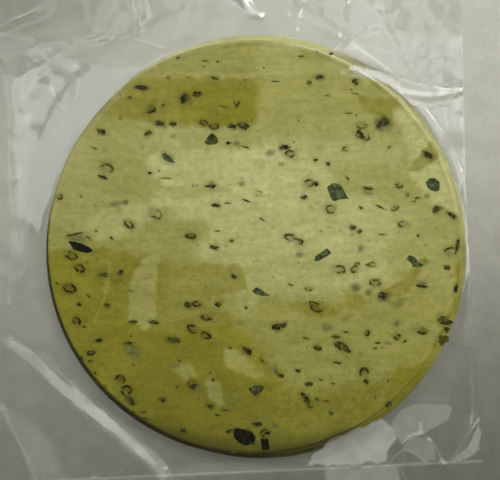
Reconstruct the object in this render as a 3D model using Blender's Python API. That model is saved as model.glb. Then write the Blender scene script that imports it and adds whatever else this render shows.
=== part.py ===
"""A clear sealed bag that holds a stack of eight thin raw papadums, lying flat on a table.

The bag and the stack inside it are one closed solid: the outer form of the film. It has a flat
underside, a raised round plateau where the film is pulled over the stack, a slope where it comes
down to the table, the folds that pull across its corners, and a flat lip outside each heat seal.

X runs across the bag and Y along it. The origin is under the middle of the bag, on the table.
"""

import math

import bmesh
import bpy
from mathutils import Vector

MM = 0.001

# The bag
BAG_WIDTH = 178 * MM
BAG_LENGTH = 203 * MM
SEAL_LIP = 8 * MM
WAIST_PULL = 1.5 * MM
WAIST_Y = -8 * MM
WAIST_REACH = 48 * MM
FLAT_HEIGHT = 0.8 * MM

# The stack inside: each disc lies a little off the one below it
DISC_RADIUS = 75 * MM
DISC_PITCH = 0.72 * MM
FILM_CLEARANCE = 0.15 * MM
DISC_CENTRES = [
    (10.5 * MM, -8.6 * MM),
    (7.8 * MM, -12.5 * MM),
    (11.3 * MM, -13.5 * MM),
    (10.9 * MM, -13.2 * MM),
    (11.5 * MM, -12.2 * MM),
    (10.6 * MM, -11.6 * MM),
    (9.8 * MM, -11.9 * MM),
    (9.1 * MM, -11.2 * MM),
]
TOP_CENTRE = Vector(DISC_CENTRES[-1])

# How the film comes down from the rim of the stack: it runs out further above the stack
DRAPE_REACH = 7 * MM
UPPER_REACH = 15 * MM
DRAPE_SAG = 1.9

# Folds in the film: start, end, height and half width. Each one fades out towards its ends.
FOLDS = {
    "ridge across the lower left corner, outer half": ((-92, -33), (-66, -58), 0.8, 4.0),
    "ridge across the lower left corner, inner half": ((-72, -53), (-24, -97), 0.8, 4.0),
    "crease in the lower left corner": ((-90, -60), (-73, -96), 0.5, 3.0),
    "upper left peak to the left edge": ((-60, 66), (-78, 46), 0.6, 4.5),
    "upper left peak to the stack": ((-64, 64), (-50, 50), 0.5, 4.0),
    "crease above the upper left peak": ((-86, 71), (-12, 65), 0.5, 4.0),
    "top left corner": ((-86, 76), (-68, 84), 0.4, 4.0),
    "loop in the header": ((-32, 86), (-32, 68), 0.5, 3.0),
    "middle pleat of the header": ((6, 88), (17, 71), 0.6, 4.0),
    "right pleat of the header": ((27, 90), (24, 68), 0.4, 3.5),
    "pleat above the upper right peak": ((45, 90), (41, 64), 0.4, 3.0),
    "upper right peak": ((43, 62), (62, 64), 0.5, 4.5),
    "fold from the stack to the right edge": ((44, 56), (90, 42), 1.4, 3.5),
    "lower right corner, to the stack": ((75, -95), (60, -72), 0.6, 4.0),
    "lower right corner, to the edge": ((76, -95), (90, -77), 0.6, 4.0),
}
FOLD_FADE = 0.3

# The mesh: spokes from the middle of the stack to the bag's edge, crossed by rings
STEPS_ACROSS = 32
STEPS_ALONG = 36
STACK_RINGS = [0.22, 0.42, 0.6, 0.76, 0.88, 0.95, 1.0]
FILM_RINGS = 18
RING_CROWDING = 1.35

FILM_COLOUR = (0.60, 0.60, 0.40, 1.0)


def clear_scene():
    for thing in list(bpy.data.objects):
        bpy.data.objects.remove(thing, do_unlink=True)


def bag_edge():
    """Points round the bag's cut edge, anticlockwise from its lower left corner."""
    corners = [(-1, -1), (1, -1), (1, 1), (-1, 1)]
    points = []
    for side, (start_x, start_y) in enumerate(corners):
        end_x, end_y = corners[(side + 1) % 4]
        steps = STEPS_ACROSS if start_y == end_y else STEPS_ALONG
        for step in range(steps):
            way = step / steps
            across = start_x + (end_x - start_x) * way
            y = (start_y + (end_y - start_y) * way) * BAG_LENGTH / 2
            pull = WAIST_PULL * math.exp(-(((y - WAIST_Y) / WAIST_REACH) ** 2))
            points.append(Vector((across * (BAG_WIDTH / 2 - pull), y)))
    return points


def stack_height(x, y):
    """Height of the film where it lies on the stack or hangs from its rim to the table."""
    height = FLAT_HEIGHT
    for level, (centre_x, centre_y) in enumerate(DISC_CENTRES, start=1):
        top = level * DISC_PITCH + FILM_CLEARANCE
        away = math.hypot(x - centre_x, y - centre_y)
        beyond = 0.8 * (y - centre_y) - 1.4 * max(x - centre_x, 0)
        upward = min(max(beyond / max(away, MM) + 0.32, 0), 1)
        reach = DRAPE_REACH + UPPER_REACH * upward * upward * (3 - 2 * upward)
        left = 1 - max(away - DISC_RADIUS, 0) / reach
        if left > 0:
            height = max(height, top * left**DRAPE_SAG)
    return height


def fold_height(x, y, start, end, height, half_width):
    """Height that one fold adds: a rounded ridge from start to end, both in millimetres."""
    start, end, point = Vector(start) * MM, Vector(end) * MM, Vector((x, y))
    run = end - start
    way = min(max((point - start).dot(run) / run.length_squared, 0), 1)
    away = (point - start - run * way).length / (half_width * MM)
    fade = min(way / FOLD_FADE, (1 - way) / FOLD_FADE, 1)
    return height * MM * math.sin(fade * math.pi / 2) * math.exp(-(away**2))


def film_height(x, y):
    """Height of the film's upper face over the table."""
    seal_y = BAG_LENGTH / 2 - SEAL_LIP
    inside_y = min(max(y, -seal_y), seal_y)
    height = stack_height(x, inside_y)
    height += sum(fold_height(x, inside_y, *fold) for fold in FOLDS.values())
    past_seal = abs(y - inside_y) / SEAL_LIP
    return height + (FLAT_HEIGHT - height) * past_seal


def ring_points(edge):
    """The rings of the upper face from the middle of the stack outwards, each one point a spoke."""
    directions = [(point - TOP_CENTRE).normalized() for point in edge]
    rims = [TOP_CENTRE + direction * DISC_RADIUS for direction in directions]
    rings = [[TOP_CENTRE.lerp(rim, share) for rim in rims] for share in STACK_RINGS]
    for ring in range(1, FILM_RINGS + 1):
        share = (ring / FILM_RINGS) ** RING_CROWDING
        rings.append([rim.lerp(end, share) for rim, end in zip(rims, edge)])
    return rings


def grow_ring(mesh, rim_edges, spoke, places):
    """Extrudes the open edge of the mesh and moves each new point to its spoke's place."""
    grown = bmesh.ops.extrude_edge_only(mesh, edges=rim_edges)["geom"]
    for vert in (item for item in grown if isinstance(item, bmesh.types.BMVert)):
        vert.co = places[vert[spoke]]
    return [item for item in grown if isinstance(item, bmesh.types.BMEdge) and item.is_boundary]


def make_pack():
    edge = bag_edge()
    rings = ring_points(edge)
    mesh = bmesh.new()
    spoke = mesh.verts.layers.int.new("spoke")
    bmesh.ops.create_circle(
        mesh, cap_ends=True, cap_tris=True, segments=len(edge), radius=DISC_RADIUS
    )
    mesh.verts.ensure_lookup_table()
    hub = max(mesh.verts, key=lambda vert: len(vert.link_edges))
    hub.co = (*TOP_CENTRE, film_height(*TOP_CENTRE))
    around = sorted(
        (vert for vert in mesh.verts if vert != hub),
        key=lambda vert: math.atan2(vert.co.y, vert.co.x) % math.tau,
    )
    for index, (vert, place) in enumerate(zip(around, rings[0])):
        vert[spoke] = index
        vert.co = (*place, film_height(*place))

    open_edges = [item for item in mesh.edges if item.is_boundary]
    for ring in rings[1:]:
        places = [(*place, film_height(*place)) for place in ring]
        open_edges = grow_ring(mesh, open_edges, spoke, places)
    open_edges = grow_ring(mesh, open_edges, spoke, [(*place, 0) for place in edge])
    bmesh.ops.contextual_create(mesh, geom=open_edges)
    bmesh.ops.triangulate(mesh, faces=[face for face in mesh.faces if len(face.verts) > 4])
    bmesh.ops.recalc_face_normals(mesh, faces=mesh.faces)

    data = bpy.data.meshes.new("papadum_pack")
    mesh.to_mesh(data)
    mesh.free()
    data.shade_smooth()
    data.set_sharp_from_angle(angle=math.radians(35))
    pack = bpy.data.objects.new("papadum_pack", data)
    bpy.context.scene.collection.objects.link(pack)
    return pack


def film_material():
    material = bpy.data.materials.new("bag_film")
    material.use_nodes = True
    shader = material.node_tree.nodes["Principled BSDF"]
    shader.inputs["Base Color"].default_value = FILM_COLOUR
    shader.inputs["Roughness"].default_value = 0.15
    shader.inputs["Metallic"].default_value = 0.0
    return material


clear_scene()
make_pack().data.materials.append(film_material())
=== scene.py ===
import math
import random

import bmesh
import bpy
import numpy as np
from mathutils import Matrix, Vector


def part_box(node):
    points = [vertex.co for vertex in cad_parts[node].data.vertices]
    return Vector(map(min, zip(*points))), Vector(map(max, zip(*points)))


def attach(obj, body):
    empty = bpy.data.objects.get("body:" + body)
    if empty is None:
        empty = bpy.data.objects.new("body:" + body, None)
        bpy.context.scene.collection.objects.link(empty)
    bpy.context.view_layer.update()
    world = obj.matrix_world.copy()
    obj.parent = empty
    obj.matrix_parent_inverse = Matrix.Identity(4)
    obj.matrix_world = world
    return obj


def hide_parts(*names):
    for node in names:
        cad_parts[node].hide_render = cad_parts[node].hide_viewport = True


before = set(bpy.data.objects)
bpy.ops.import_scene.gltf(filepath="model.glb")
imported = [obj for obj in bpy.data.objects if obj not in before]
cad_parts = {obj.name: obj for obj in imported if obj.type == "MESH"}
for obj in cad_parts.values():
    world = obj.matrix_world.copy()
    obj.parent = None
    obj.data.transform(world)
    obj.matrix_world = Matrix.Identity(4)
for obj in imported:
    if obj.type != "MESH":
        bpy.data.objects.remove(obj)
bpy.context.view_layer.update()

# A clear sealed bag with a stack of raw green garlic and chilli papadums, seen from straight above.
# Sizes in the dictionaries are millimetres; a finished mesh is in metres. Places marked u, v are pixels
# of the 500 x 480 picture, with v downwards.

_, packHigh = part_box("papadum_pack")
mm = 0.001
print("frame loaded")


# Camera: straight above, with the bag turned a little in the picture

photo = {
    "width": 500,
    "height": 480,
    "bagTurn": 2.6,  # degrees, anticlockwise in the picture
    "cameraHeight": 450,
    "lens": 88.2,
    "sensor": 36,
    "clipStart": 20,
    "aim": (7.57, -8.6),  # what the middle of the picture shows
    # Heights at which places read off the picture lie
    "stackLevel": 6,
    "roofLevel": 4,
    "foldLevel": 1.5,
    "sheetLevel": 1.2,
}
bagTurn = math.radians(photo["bagTurn"])


def spotInPhoto(u, v, height=0):
    # Where the ray through pixel (u, v) meets the level at this height
    right = Vector((math.cos(bagTurn), -math.sin(bagTurn)))
    up = Vector((math.sin(bagTurn), math.cos(bagTurn)))
    pixelsPerRadian = photo["lens"] / photo["sensor"] * photo["width"]
    scale = (photo["cameraHeight"] - height) / pixelsPerRadian
    across, along = u - photo["width"] / 2, photo["height"] / 2 - v
    return Vector(photo["aim"]) + (right * across + up * along) * scale


def pixelSize():
    return (photo["cameraHeight"] - photo["stackLevel"]) * photo["sensor"] / photo["lens"] / photo["width"]


def addObject(name, data):
    made = bpy.data.objects.new(name, data)
    bpy.context.scene.collection.objects.link(made)
    return made


def makeCamera():
    camera = addObject("camera", bpy.data.cameras.new("camera"))
    camera.data.lens = photo["lens"]
    camera.data.sensor_width = photo["sensor"]
    camera.data.clip_start = photo["clipStart"] * mm
    camera.location = Vector((*photo["aim"], photo["cameraHeight"])) * mm
    camera.rotation_euler = (0, 0, -bagTurn)
    bpy.context.scene.camera = camera


makeCamera()
print("camera placed")


# Shader maths

class Wire:
    # One value in a material: sums, products and so on of wires add Math nodes
    def __init__(self, bench, socket):
        self.bench = bench
        self.socket = socket

    def reckon(self, operation, first, second):
        return self.bench.node("Math", {"operation": operation}, {0: first, 1: second})

    def __add__(self, other):
        return self.reckon("ADD", self, other)

    def __radd__(self, other):
        return self.reckon("ADD", other, self)

    def __sub__(self, other):
        return self.reckon("SUBTRACT", self, other)

    def __rsub__(self, other):
        return self.reckon("SUBTRACT", other, self)

    def __mul__(self, other):
        return self.reckon("MULTIPLY", self, other)

    def __rmul__(self, other):
        return self.reckon("MULTIPLY", other, self)

    def __pow__(self, other):
        return self.reckon("POWER", self, other)

    def span(self, low, high):
        # 0 below low, 1 above high, smooth between
        settings = {"interpolation_type": "SMOOTHSTEP"}
        return self.bench.node("MapRange", settings, {0: self, 1: low, 2: high})


class Bench:
    # A material being wired up
    def __init__(self, name):
        self.material = bpy.data.materials.new(name)
        self.material.use_nodes = True
        self.tree = self.material.node_tree
        self.tree.nodes.clear()
        self.place = self.node("TexCoord", output="Object")

    def node(self, kind, settings=None, sockets=None, output=0):
        made = self.tree.nodes.new("ShaderNode" + kind)
        for name, value in (settings or {}).items():
            setattr(made, name, value)
        for name, value in (sockets or {}).items():
            if isinstance(value, Wire):
                self.tree.links.new(value.socket, made.inputs[name])
            else:
                made.inputs[name].default_value = value
        return Wire(self, made.outputs[output])

    def attribute(self, name):
        # What was painted on the points of the mesh under this name
        return self.node("Attribute", {"attribute_name": name}, output="Fac")

    def noise(self, size, detail=2, roughness=0.5, place=None):
        # Soft blotches of about this size in millimetres
        sockets = {"Vector": place or self.place, "Scale": 1 / (size * mm)}
        return self.node("TexNoise", {}, {**sockets, "Detail": detail, "Roughness": roughness})

    def stretched(self, turn, across):
        # Object coordinates turned by an angle and squeezed along one axis, for streaks
        sockets = {"Vector": self.place, "Rotation": (0, 0, math.radians(turn))}
        return self.node("Mapping", {}, {**sockets, "Scale": (across, 1, 1)})

    def mix(self, share, first, second):
        # Colours are wires or red, green and blue
        both = (colour if isinstance(colour, Wire) else (*colour, 1) for colour in (first, second))
        return self.node("Mix", {"data_type": "RGBA"}, dict(zip((0, 6, 7), (share, *both))), output=2)

    def bump(self, height, distance, strength=1):
        sockets = {"Height": height, "Distance": distance * mm, "Strength": strength}
        return self.node("Bump", {}, sockets)

    def finish(self, shader):
        end = self.tree.nodes.new("ShaderNodeOutputMaterial")
        self.tree.links.new(shader.socket, end.inputs["Surface"])
        return self.material


def addPiece(name, mesh, materials, smooth=True):
    # Turns a mesh drawn in millimetres into a finished piece of the bag
    bmesh.ops.scale(mesh, vec=Vector((mm, mm, mm)), verts=mesh.verts)
    data = bpy.data.meshes.new(name)
    mesh.to_mesh(data)
    mesh.free()
    for material in materials:
        data.materials.append(material)
    if smooth:
        data.shade_smooth()
    piece = addObject(name, data)
    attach(piece, "root")
    return piece


# Soft hills and edges

farAway = 1e9
hairsBreadth = 1e-9

ripples = {
    # Each set of waves: its seed, how many there are, and how long the shortest and longest are
    "warp": (4, 5, 70, 160),
    "zone edges across": (51, 6, 6, 22),
    "zone edges across, fine": (52, 6, 2, 6),
    "zone edges along": (53, 6, 6, 22),
    "zone edges along, fine": (54, 6, 2, 6),
    "lower discs": (61, 6, 12, 50),
    "ragged flecks": (71, 7, 0.9, 3.5),
    "film": (8, 7, 24, 70),
    "film, fine": (9, 9, 7, 20),
    "lip": (12, 5, 18, 50),
    "haze streaks": (81, 7, 4, 16),
    "haze clouds": (82, 9, 5, 18),
}


def waves(x, y, name):
    # Smooth random hills between about -1 and 1, from a few long sine waves
    seed, count, shortest, longest = ripples[name]
    draw = random.Random(seed)
    total = np.zeros_like(x)
    for _ in range(count):
        turn = draw.uniform(0, math.tau)
        length = draw.uniform(shortest, longest)
        shift = draw.uniform(0, math.tau)
        total += np.sin((x * math.cos(turn) + y * math.sin(turn)) * math.tau / length + shift)
    return total / math.sqrt(count)


def ease(share):
    # 0 to 1 with a soft start and end
    return share * share * (3 - 2 * share)


def rise(value):
    # An S that climbs from 0 to 1 round value 0
    return 1 / (1 + np.exp(-np.clip(value, -50, 50)))


def bell(distance, width):
    return np.exp(-((distance / width) ** 2))


def growRim(mesh, edges):
    # Extrudes the open edge of a mesh; gives its new points and the new open edge
    grown = bmesh.ops.extrude_edge_only(mesh, edges=edges)["geom"]
    ring = [item for item in grown if isinstance(item, bmesh.types.BMVert)]
    return ring, [item for item in grown if isinstance(item, bmesh.types.BMEdge) and item.is_boundary]


def closeRim(mesh, edges):
    bmesh.ops.contextual_create(mesh, geom=edges)
    bmesh.ops.recalc_face_normals(mesh, faces=mesh.faces)


# The stack of papadums

discs = {
    "radius": 75,
    "thickness": 0.65,
    "pitch": 0.72,
    "lowest": 0.15,  # underside of the lowest disc
    "centres": [
        (10.5, -8.6), (7.8, -12.5), (11.3, -13.5), (10.9, -13.2),
        (11.5, -12.2), (10.6, -11.6), (9.8, -11.9), (9.1, -11.2),
    ],
    "warp": 0.16,  # how far the top disc lies out of flat
    "rimWobble": 0.07,
    "wobbleOrders": (2, 3, 5, 9, 17, 31),  # waves in one turn of the rim
    "wobbleFade": 0.4,
    "rimRound": 0.14,
    "rimBelly": 0.7,  # how round the corners of the rim are
    "topSteps": 190,
    "lowerSteps": 60,
    # Painted light: the lower discs look paler towards the upper right, from the least to the most
    "lowerLight": (0.10, 0.66),
    "lowerLightLean": 0.4,
    "lowerLightSteep": 1.4,
    "lowerLightStart": 0.3,
    "lowerMottle": 0.1,
}
topCentre = discs["centres"][-1]


def fromTop(x, y):
    # Steps across and along from the middle of the top disc, and the distance
    across, along = x - topCentre[0], y - topCentre[1]
    return across, along, np.hypot(across, along)


def discTop(x, y, level=None):
    # Height of the upper face of one disc, the top one if none is named
    level = level or len(discs["centres"])
    share = level / len(discs["centres"])
    flat = discs["lowest"] + (level - 1) * discs["pitch"] + discs["thickness"]
    return flat + share * discs["warp"] * waves(np.asarray(x, float), np.asarray(y, float), "warp")


def roundGrid(mesh, steps):
    # A square grid whose points are moved to fill a circle of radius 1
    bmesh.ops.create_grid(mesh, x_segments=steps, y_segments=steps, size=1)
    for vert in mesh.verts:
        a, b = vert.co.x, vert.co.y
        if max(abs(a), abs(b)) < hairsBreadth:
            continue
        if abs(a) > abs(b):
            radius, angle = a, math.pi / 4 * b / a
        else:
            radius, angle = b, math.pi / 2 - math.pi / 4 * a / b
        vert.co = (radius * math.cos(angle), radius * math.sin(angle), 0)


def shapeRim(angle, seed):
    # The die-cut rim isn't a perfect circle
    draw = random.Random(seed)
    wobble = 0
    for order in discs["wobbleOrders"]:
        size = draw.uniform(-1, 1)
        shift = draw.uniform(0, math.tau)
        wobble += size * math.sin(order * angle + shift) / order ** discs["wobbleFade"]
    return discs["radius"] + discs["rimWobble"] * wobble


def makeDisc(level, material):
    mesh = bmesh.new()
    isTop = level == len(discs["centres"])
    roundGrid(mesh, discs["topSteps"] if isTop else discs["lowerSteps"])
    centre = Vector(discs["centres"][level - 1])
    corner = discs["rimRound"]
    for vert in mesh.verts:
        angle = math.atan2(vert.co.y, vert.co.x)
        reach = shapeRim(angle, level) - corner
        x, y = centre.x + vert.co.x * reach, centre.y + vert.co.y * reach
        vert.co = (x, y, float(discTop(x, y, level)))

    # Down the rim: a rounded upper corner, the cut edge and a rounded lower corner
    most = discs["rimBelly"] * corner
    least = corner - most
    steps = [(most, -least), (least, -most), (0, 2 * corner - discs["thickness"])]
    steps += [(-least, -most), (-most, -least)]
    edges = [edge for edge in mesh.edges if edge.is_boundary]
    for outward, upward in steps:
        ring, edges = growRim(mesh, edges)
        for vert in ring:
            away = (Vector(vert.co.xy) - centre).normalized() * outward
            vert.co += Vector((*away, upward))
    closeRim(mesh, edges)
    paintDoughLightAndFlecks(mesh, isTop)
    return addPiece(f"papadum_{level}", mesh, [material])


# Flecks on the top disc, each at its place in the picture: u, v, length and width in pixels, and its turn
# in degrees. A seed shows as a dark outline, and its last number is the side on which that is open.

flecks = {
    "leaf": [
        (184.8, 98, 12, 10, 0), (242.8, 125.6, 12, 7, -8), (141.5, 87.3, 13, 4.5, -8),
        (173.5, 124, 8, 4, -5), (159, 123.6, 13, 5, -18), (148, 133.2, 8, 5, 20), (197, 94, 9, 5, -10),
        (101.5, 131.5, 9, 5, -30), (103, 177.2, 9, 3.5, -20), (232.5, 126.5, 9, 4.5, -8),
        (228, 143, 4, 3, 0), (211.5, 186, 10, 3.5, 4), (216.8, 205.2, 9, 4, -14),
        (214.6, 247.6, 8, 4, -14), (319.5, 76.8, 10, 5, 8), (309.5, 82.4, 4.5, 3.5, 0),
        (380, 125, 9, 7, 60), (386, 121.5, 9, 7, -40), (360.5, 133.5, 9, 5, -35),
        (365.5, 137, 8, 4, -15), (284, 147.4, 10, 5, -5), (315.3, 184, 5, 4, 0),
        (303.5, 197.5, 6, 4, 10), (367.8, 188.4, 12, 3, -8), (429, 155.4, 13, 6, -35),
        (437, 209, 9, 6, 40), (452, 215.3, 13, 4, -33), (457.2, 245.5, 14, 4, 80),
        (352.6, 228, 7, 5, -20), (359.2, 231.6, 6, 3.5, 0), (103.5, 274.6, 9, 4, 0),
        (120.3, 272.6, 6, 4.5, 70), (79, 304.6, 4.5, 3, -10), (98.8, 340.6, 8, 4, 2),
        (128.2, 343.2, 9, 3, 2), (172.4, 339.8, 12, 5, -12), (153, 322.3, 9, 4, -8),
        (188.6, 305, 9, 6, -10), (218.5, 304, 7, 4.5, -20), (234, 276, 6, 4, -20),
        (246.4, 350.4, 10, 5, -35), (192, 385.2, 10, 5, -35), (162.6, 399.8, 6.5, 4.5, -10),
        (130, 400.8, 12, 6, -30), (210.6, 406.4, 7, 4, -12), (183, 431, 5, 4, 20),
        (257, 424.6, 8, 5, -10), (266, 433, 9, 4, 0), (278, 327, 11, 7, 0), (284.8, 324.8, 5, 3.5, 60),
        (336.6, 336.8, 8, 3.5, -6), (338, 344.6, 9, 4, -4), (347, 349.8, 9, 4, -30),
        (368.6, 265, 5, 3, 0), (422, 286.3, 11, 3, -10), (384, 295, 11, 6, -10),
        (447.2, 267.2, 5.5, 4.5, 0), (456.3, 288, 8, 4.5, 85), (445, 321, 13, 8, -10),
        (447, 329.3, 6, 3.5, 0), (443.4, 337.3, 10, 5, 0), (366, 381.6, 5, 4.5, 60),
        (298, 371, 5, 3, -10), (281, 375.8, 6, 3, -20), (308.8, 384, 7, 4, 0),
        (303.4, 395.4, 7, 4, -50), (307.2, 400, 9, 6, -70), (310, 407, 5, 2.5, -10),
        (331, 413.2, 5, 3, -30), (254, 392.8, 10, 3, -42), (388.8, 404, 8, 4, 20),
        (245.8, 431.6, 7, 4, -10), (249.8, 441.6, 8, 5, -20),
    ],
    "pale leaf": [
        (116, 204, 9, 6, 15), (125, 202.3, 8, 5, 0), (269.8, 153, 8, 6, 10),
        (383.2, 123.8, 17, 14, -20), (290.6, 238, 11, 6, -8), (327.6, 328, 12, 7, 0),
        (130, 224, 10, 6, -35), (168, 158, 14, 9, -38), (211.5, 182.4, 6, 3.5, 0), (242, 184, 6, 5, 0),
        (77.6, 238.6, 20, 10, -12), (368, 192.8, 11, 4.5, -8), (132, 351.4, 17, 12, -25),
        (422, 283, 10, 5, -8), (355.6, 287.6, 9, 9, -40), (361, 249, 6, 8, 0), (383.4, 300, 12, 6, -10),
        (397.4, 304, 9, 6, -10), (397, 324.4, 6, 7, 0), (274.4, 370.6, 13, 6, -38),
        (275.4, 425.6, 9, 6, -8), (369, 292.6, 6, 8, -10), (307, 425.6, 6, 5, -20),
        (175.6, 365.8, 12, 4, 4), (236.4, 143.6, 8, 5, 0), (427, 196, 6, 5, -10),
        (299.6, 254.6, 9, 5, 0), (281.4, 164, 6, 3.5, 0), (388, 343.2, 8, 4, -10),
        (173, 136.2, 5, 4, 0),
    ],
    "seed": [
        (149.8, 108.8, 12, 9, -10, 90), (203.6, 122.8, 9, 6, -15, None), (214, 126.4, 11, 7, -5, 120),
        (106.8, 167.6, 13, 9, -8, None), (60, 196.8, 7, 6, -30, 120), (155.2, 214, 15, 9, -28, None),
        (128.6, 224.6, 12, 7, -35, 100), (191, 236.2, 11, 6, -5, 90), (362.4, 135, 15, 9, -30, 60),
        (356.2, 81.8, 9, 6, -10, 60), (361.6, 125.6, 12, 7, -10, 60), (290.2, 153.8, 11, 9, -20, None),
        (308.4, 183.4, 10, 9, 0, None), (330.6, 209.6, 10, 9, -10, 20), (394.4, 208.6, 9, 5, 12, 150),
        (403, 224.2, 11, 7, -5, 60), (290, 237, 12, 7, -8, 320), (299, 241.6, 10, 7, -20, None),
        (70.6, 255.2, 14, 9, -18, None), (79.2, 268.4, 12, 8, -20, None),
        (69.4, 288.6, 14, 9, -15, 100), (76.6, 321.4, 10, 8, -30, 130), (197, 303.8, 10, 6, 5, None),
        (206.8, 318, 12, 6, -8, 90), (192.6, 328.8, 12, 8, -42, 330), (205.6, 335.2, 11, 7, -20, 200),
        (133, 322.2, 9, 4, 0, 270), (119.6, 379.8, 11, 9, 0, None), (125.6, 390.6, 12, 10, 0, None),
        (192.8, 385.6, 12, 8, -30, 80), (90.8, 353.2, 9, 5, 10, 90), (338.8, 269.6, 15, 9, -2, None),
        (354.6, 269.2, 9, 8, 0, 20), (372.6, 264.6, 8, 5, 0, 0), (375.6, 282.8, 13, 8, -5, None),
        (316.8, 307.2, 16, 9, -28, None), (315.8, 184, 6, 5, 0, None), (345.4, 148.8, 7, 5, 0, 0),
        (421.8, 330.6, 13, 7, -16, 0), (450.4, 251.4, 11, 9, 0, 330), (396.8, 337, 8, 7, 10, 330),
        (367, 332.8, 6, 7, 0, 180), (364.2, 372, 10, 10, 0, None), (443.4, 339, 11, 8, 0, None),
        (342.6, 346.8, 15, 8, -25, 270), (317.6, 348, 9, 5, -15, 60), (265.8, 433.6, 11, 8, 0, 60),
        (399.4, 185.8, 8, 5, 0, 60), (106.8, 305.4, 7, 4, 0, 200), (309, 289, 8, 4, -5, 90),
        (357, 264, 5, 4, 0, None), (407, 194.8, 4, 4, 30, 200),
    ],
    "stroke": [
        (224, 106.6, 10, 1.8, -14), (237.8, 104.4, 9, 3, 66), (235, 103.6, 8, 2, -66),
        (75.6, 234, 22, 2.2, 12), (88.6, 238, 7, 2, -38), (165, 178.2, 11, 1.8, -4),
        (245.4, 147.2, 9, 1.8, -18), (246.2, 200.6, 10, 2.2, -22), (228, 203.2, 8, 1.8, 0),
        (217.6, 231, 7, 1.6, -4), (301, 56.2, 7, 1.8, 0), (275.4, 81.2, 9, 1.6, -4),
        (328, 95.6, 6, 1.6, -10), (349, 113, 9, 1.4, 0), (380.6, 207.2, 13, 2, -24),
        (347.8, 178.6, 7, 2.6, -45), (382.4, 234.4, 9, 1.8, -8), (262.2, 219.4, 7, 2, -32),
        (451, 248.6, 9, 1.8, 8), (88.4, 296, 5.5, 2.2, -52), (94.4, 148.2, 8, 1.6, -22),
        (111.2, 238, 6, 3, -40), (336.8, 362.8, 9, 2.4, -12), (345.6, 332, 7, 2.2, -14),
        (378, 343, 7, 2.2, -8), (375.2, 348.4, 5, 2.2, 0), (317.6, 399.6, 8, 2.4, -36),
        (325, 401.2, 9, 2, 0), (321, 380, 6, 2.2, -30), (333.6, 383.8, 6, 1.6, -8),
        (262.4, 361.2, 8, 2.6, -44), (291, 284.8, 7, 2, -16), (145, 418.4, 9, 2.4, -14),
        (143, 412.2, 7, 2, 0), (224, 410.2, 9, 2.6, 0), (217.4, 415, 6, 2.2, -20),
        (130.6, 291, 6, 1.4, -12), (168, 77.4, 5, 1.8, -4), (188.6, 77.6, 5, 1.4, 0),
        (214.4, 78, 11, 3.6, -14), (259, 191.6, 6, 1.2, -15), (305.6, 338.2, 7, 2.8, -10),
        (440.6, 207.4, 8, 1.6, -20), (397.6, 208, 5, 2, 60), (205.6, 60.8, 8, 1.6, 0),
        (74, 234.6, 18, 2.4, 14), (84, 327, 6, 2, -5), (57, 283.4, 6, 1.8, -20),
        (356, 93.6, 9, 1.4, -12), (405, 341, 6, 3, 30),
    ],
    "speck": [
        (129.5, 97.5, 6, 3, 0), (120, 95.2, 3.5, 2, 0), (163, 105, 5, 3, 45), (120.2, 118.4, 3, 3, 0),
        (149.8, 173, 6, 4, 0), (159, 171, 3, 2, 0), (252.2, 120, 2.4, 2, 40),
        (316.8, 51.6, 2.4, 2.2, 0), (331, 53.6, 5, 3, 0), (356.4, 115.2, 2.6, 2.4, 0),
        (389.4, 147, 4, 2.4, 25), (316, 160, 5, 3, 0), (328, 164, 5, 4, -50), (361, 207.8, 5, 3, -20),
        (414.4, 201.4, 4, 2, 15), (417, 198, 6, 2, 5), (418, 236, 4, 3, 0), (231, 240.4, 6, 3.5, 10),
        (193, 185.4, 2.4, 2, 0), (177.6, 57.8, 4, 3, 0), (218, 61.4, 4, 2.4, 0),
        (131, 336, 2.4, 1.8, 0), (230.2, 348.2, 6, 3, -10), (213.2, 380, 5, 3.5, 0),
        (210, 373, 3, 2, 0), (177.4, 387, 4, 4, 0), (179.4, 361, 4, 2, 0), (105, 386.4, 4, 3, 40),
        (99, 383, 4, 3, 40), (81, 358, 5, 3, -50), (90, 361.4, 6, 3, 0), (321, 231.2, 3, 1.6, 0),
        (388, 381, 2.6, 2, 0), (375.2, 398.2, 2.4, 2, 0), (250.4, 354.6, 3, 2, 0),
        (205.6, 287.6, 2, 1.6, 0), (246, 307.8, 4, 3, 0), (87.6, 262, 2.4, 1.6, 0), (133, 365, 3, 2, 0),
        (96, 231.2, 4, 2, -20), (245, 80, 4, 1.6, 0), (81, 196.4, 4, 1.8, -30),
        (298.6, 120.4, 2, 1.6, 0),
    ],
    "rim": [
        (131.8, 411.8, 11, 4, -28), (218, 452.8, 10, 2.4, -8), (233, 452.6, 9, 3, -2),
        (252, 454.2, 12, 2.4, 0), (95, 373, 7, 2.4, -50), (121, 404, 8, 2.4, -36),
        (326, 441, 8, 1.8, 24),
    ],
    # Painted shade: broad, greyer and duller patches near the bottom of the top disc
    "shaded patch": [
        (320, 414, 150, 46, 12), (222, 398, 60, 26, -20), (374, 396, 60, 30, 40),
    ],
}

# How each kind is cut and pressed in. Grow is its size against the list above, rough is how uneven its
# outline is, lean is in radians, and drawIn is how much smaller its upper face is.
bigLeaf = {"thick": 0.09, "sink": 0.02, "drawIn": 0.12}
speck = {"grow": 0.95, "rough": 0.3, "thick": 0.09, "lean": 0.05, "sink": 0.03, "drawIn": 0.25}
fleckShapes = {
    "leaf": {**bigLeaf, "grow": 1.06, "corners": 12, "rough": 0.4, "lean": 0.03, "sink": 0.04},
    "big leaf": bigLeaf,
    "speck": {**speck, "corners": 6},
    "stroke": {**speck, "corners": 8},
    "rim": {**speck, "corners": 5},
    "dust": {**speck, "corners": 5, "thick": 0.05, "drawIn": 0.3},
    "seed": {"grow": 1.05, "corners": 12, "rough": 0.16, "thick": 0.1, "lean": 0.05, "sink": 0.05,
             "drawIn": 0.04},
}

dust = {"count": 60, "reach": 0.97, "lengths": (0.5, 1.1), "slimness": (0.4, 0.9)}

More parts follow.
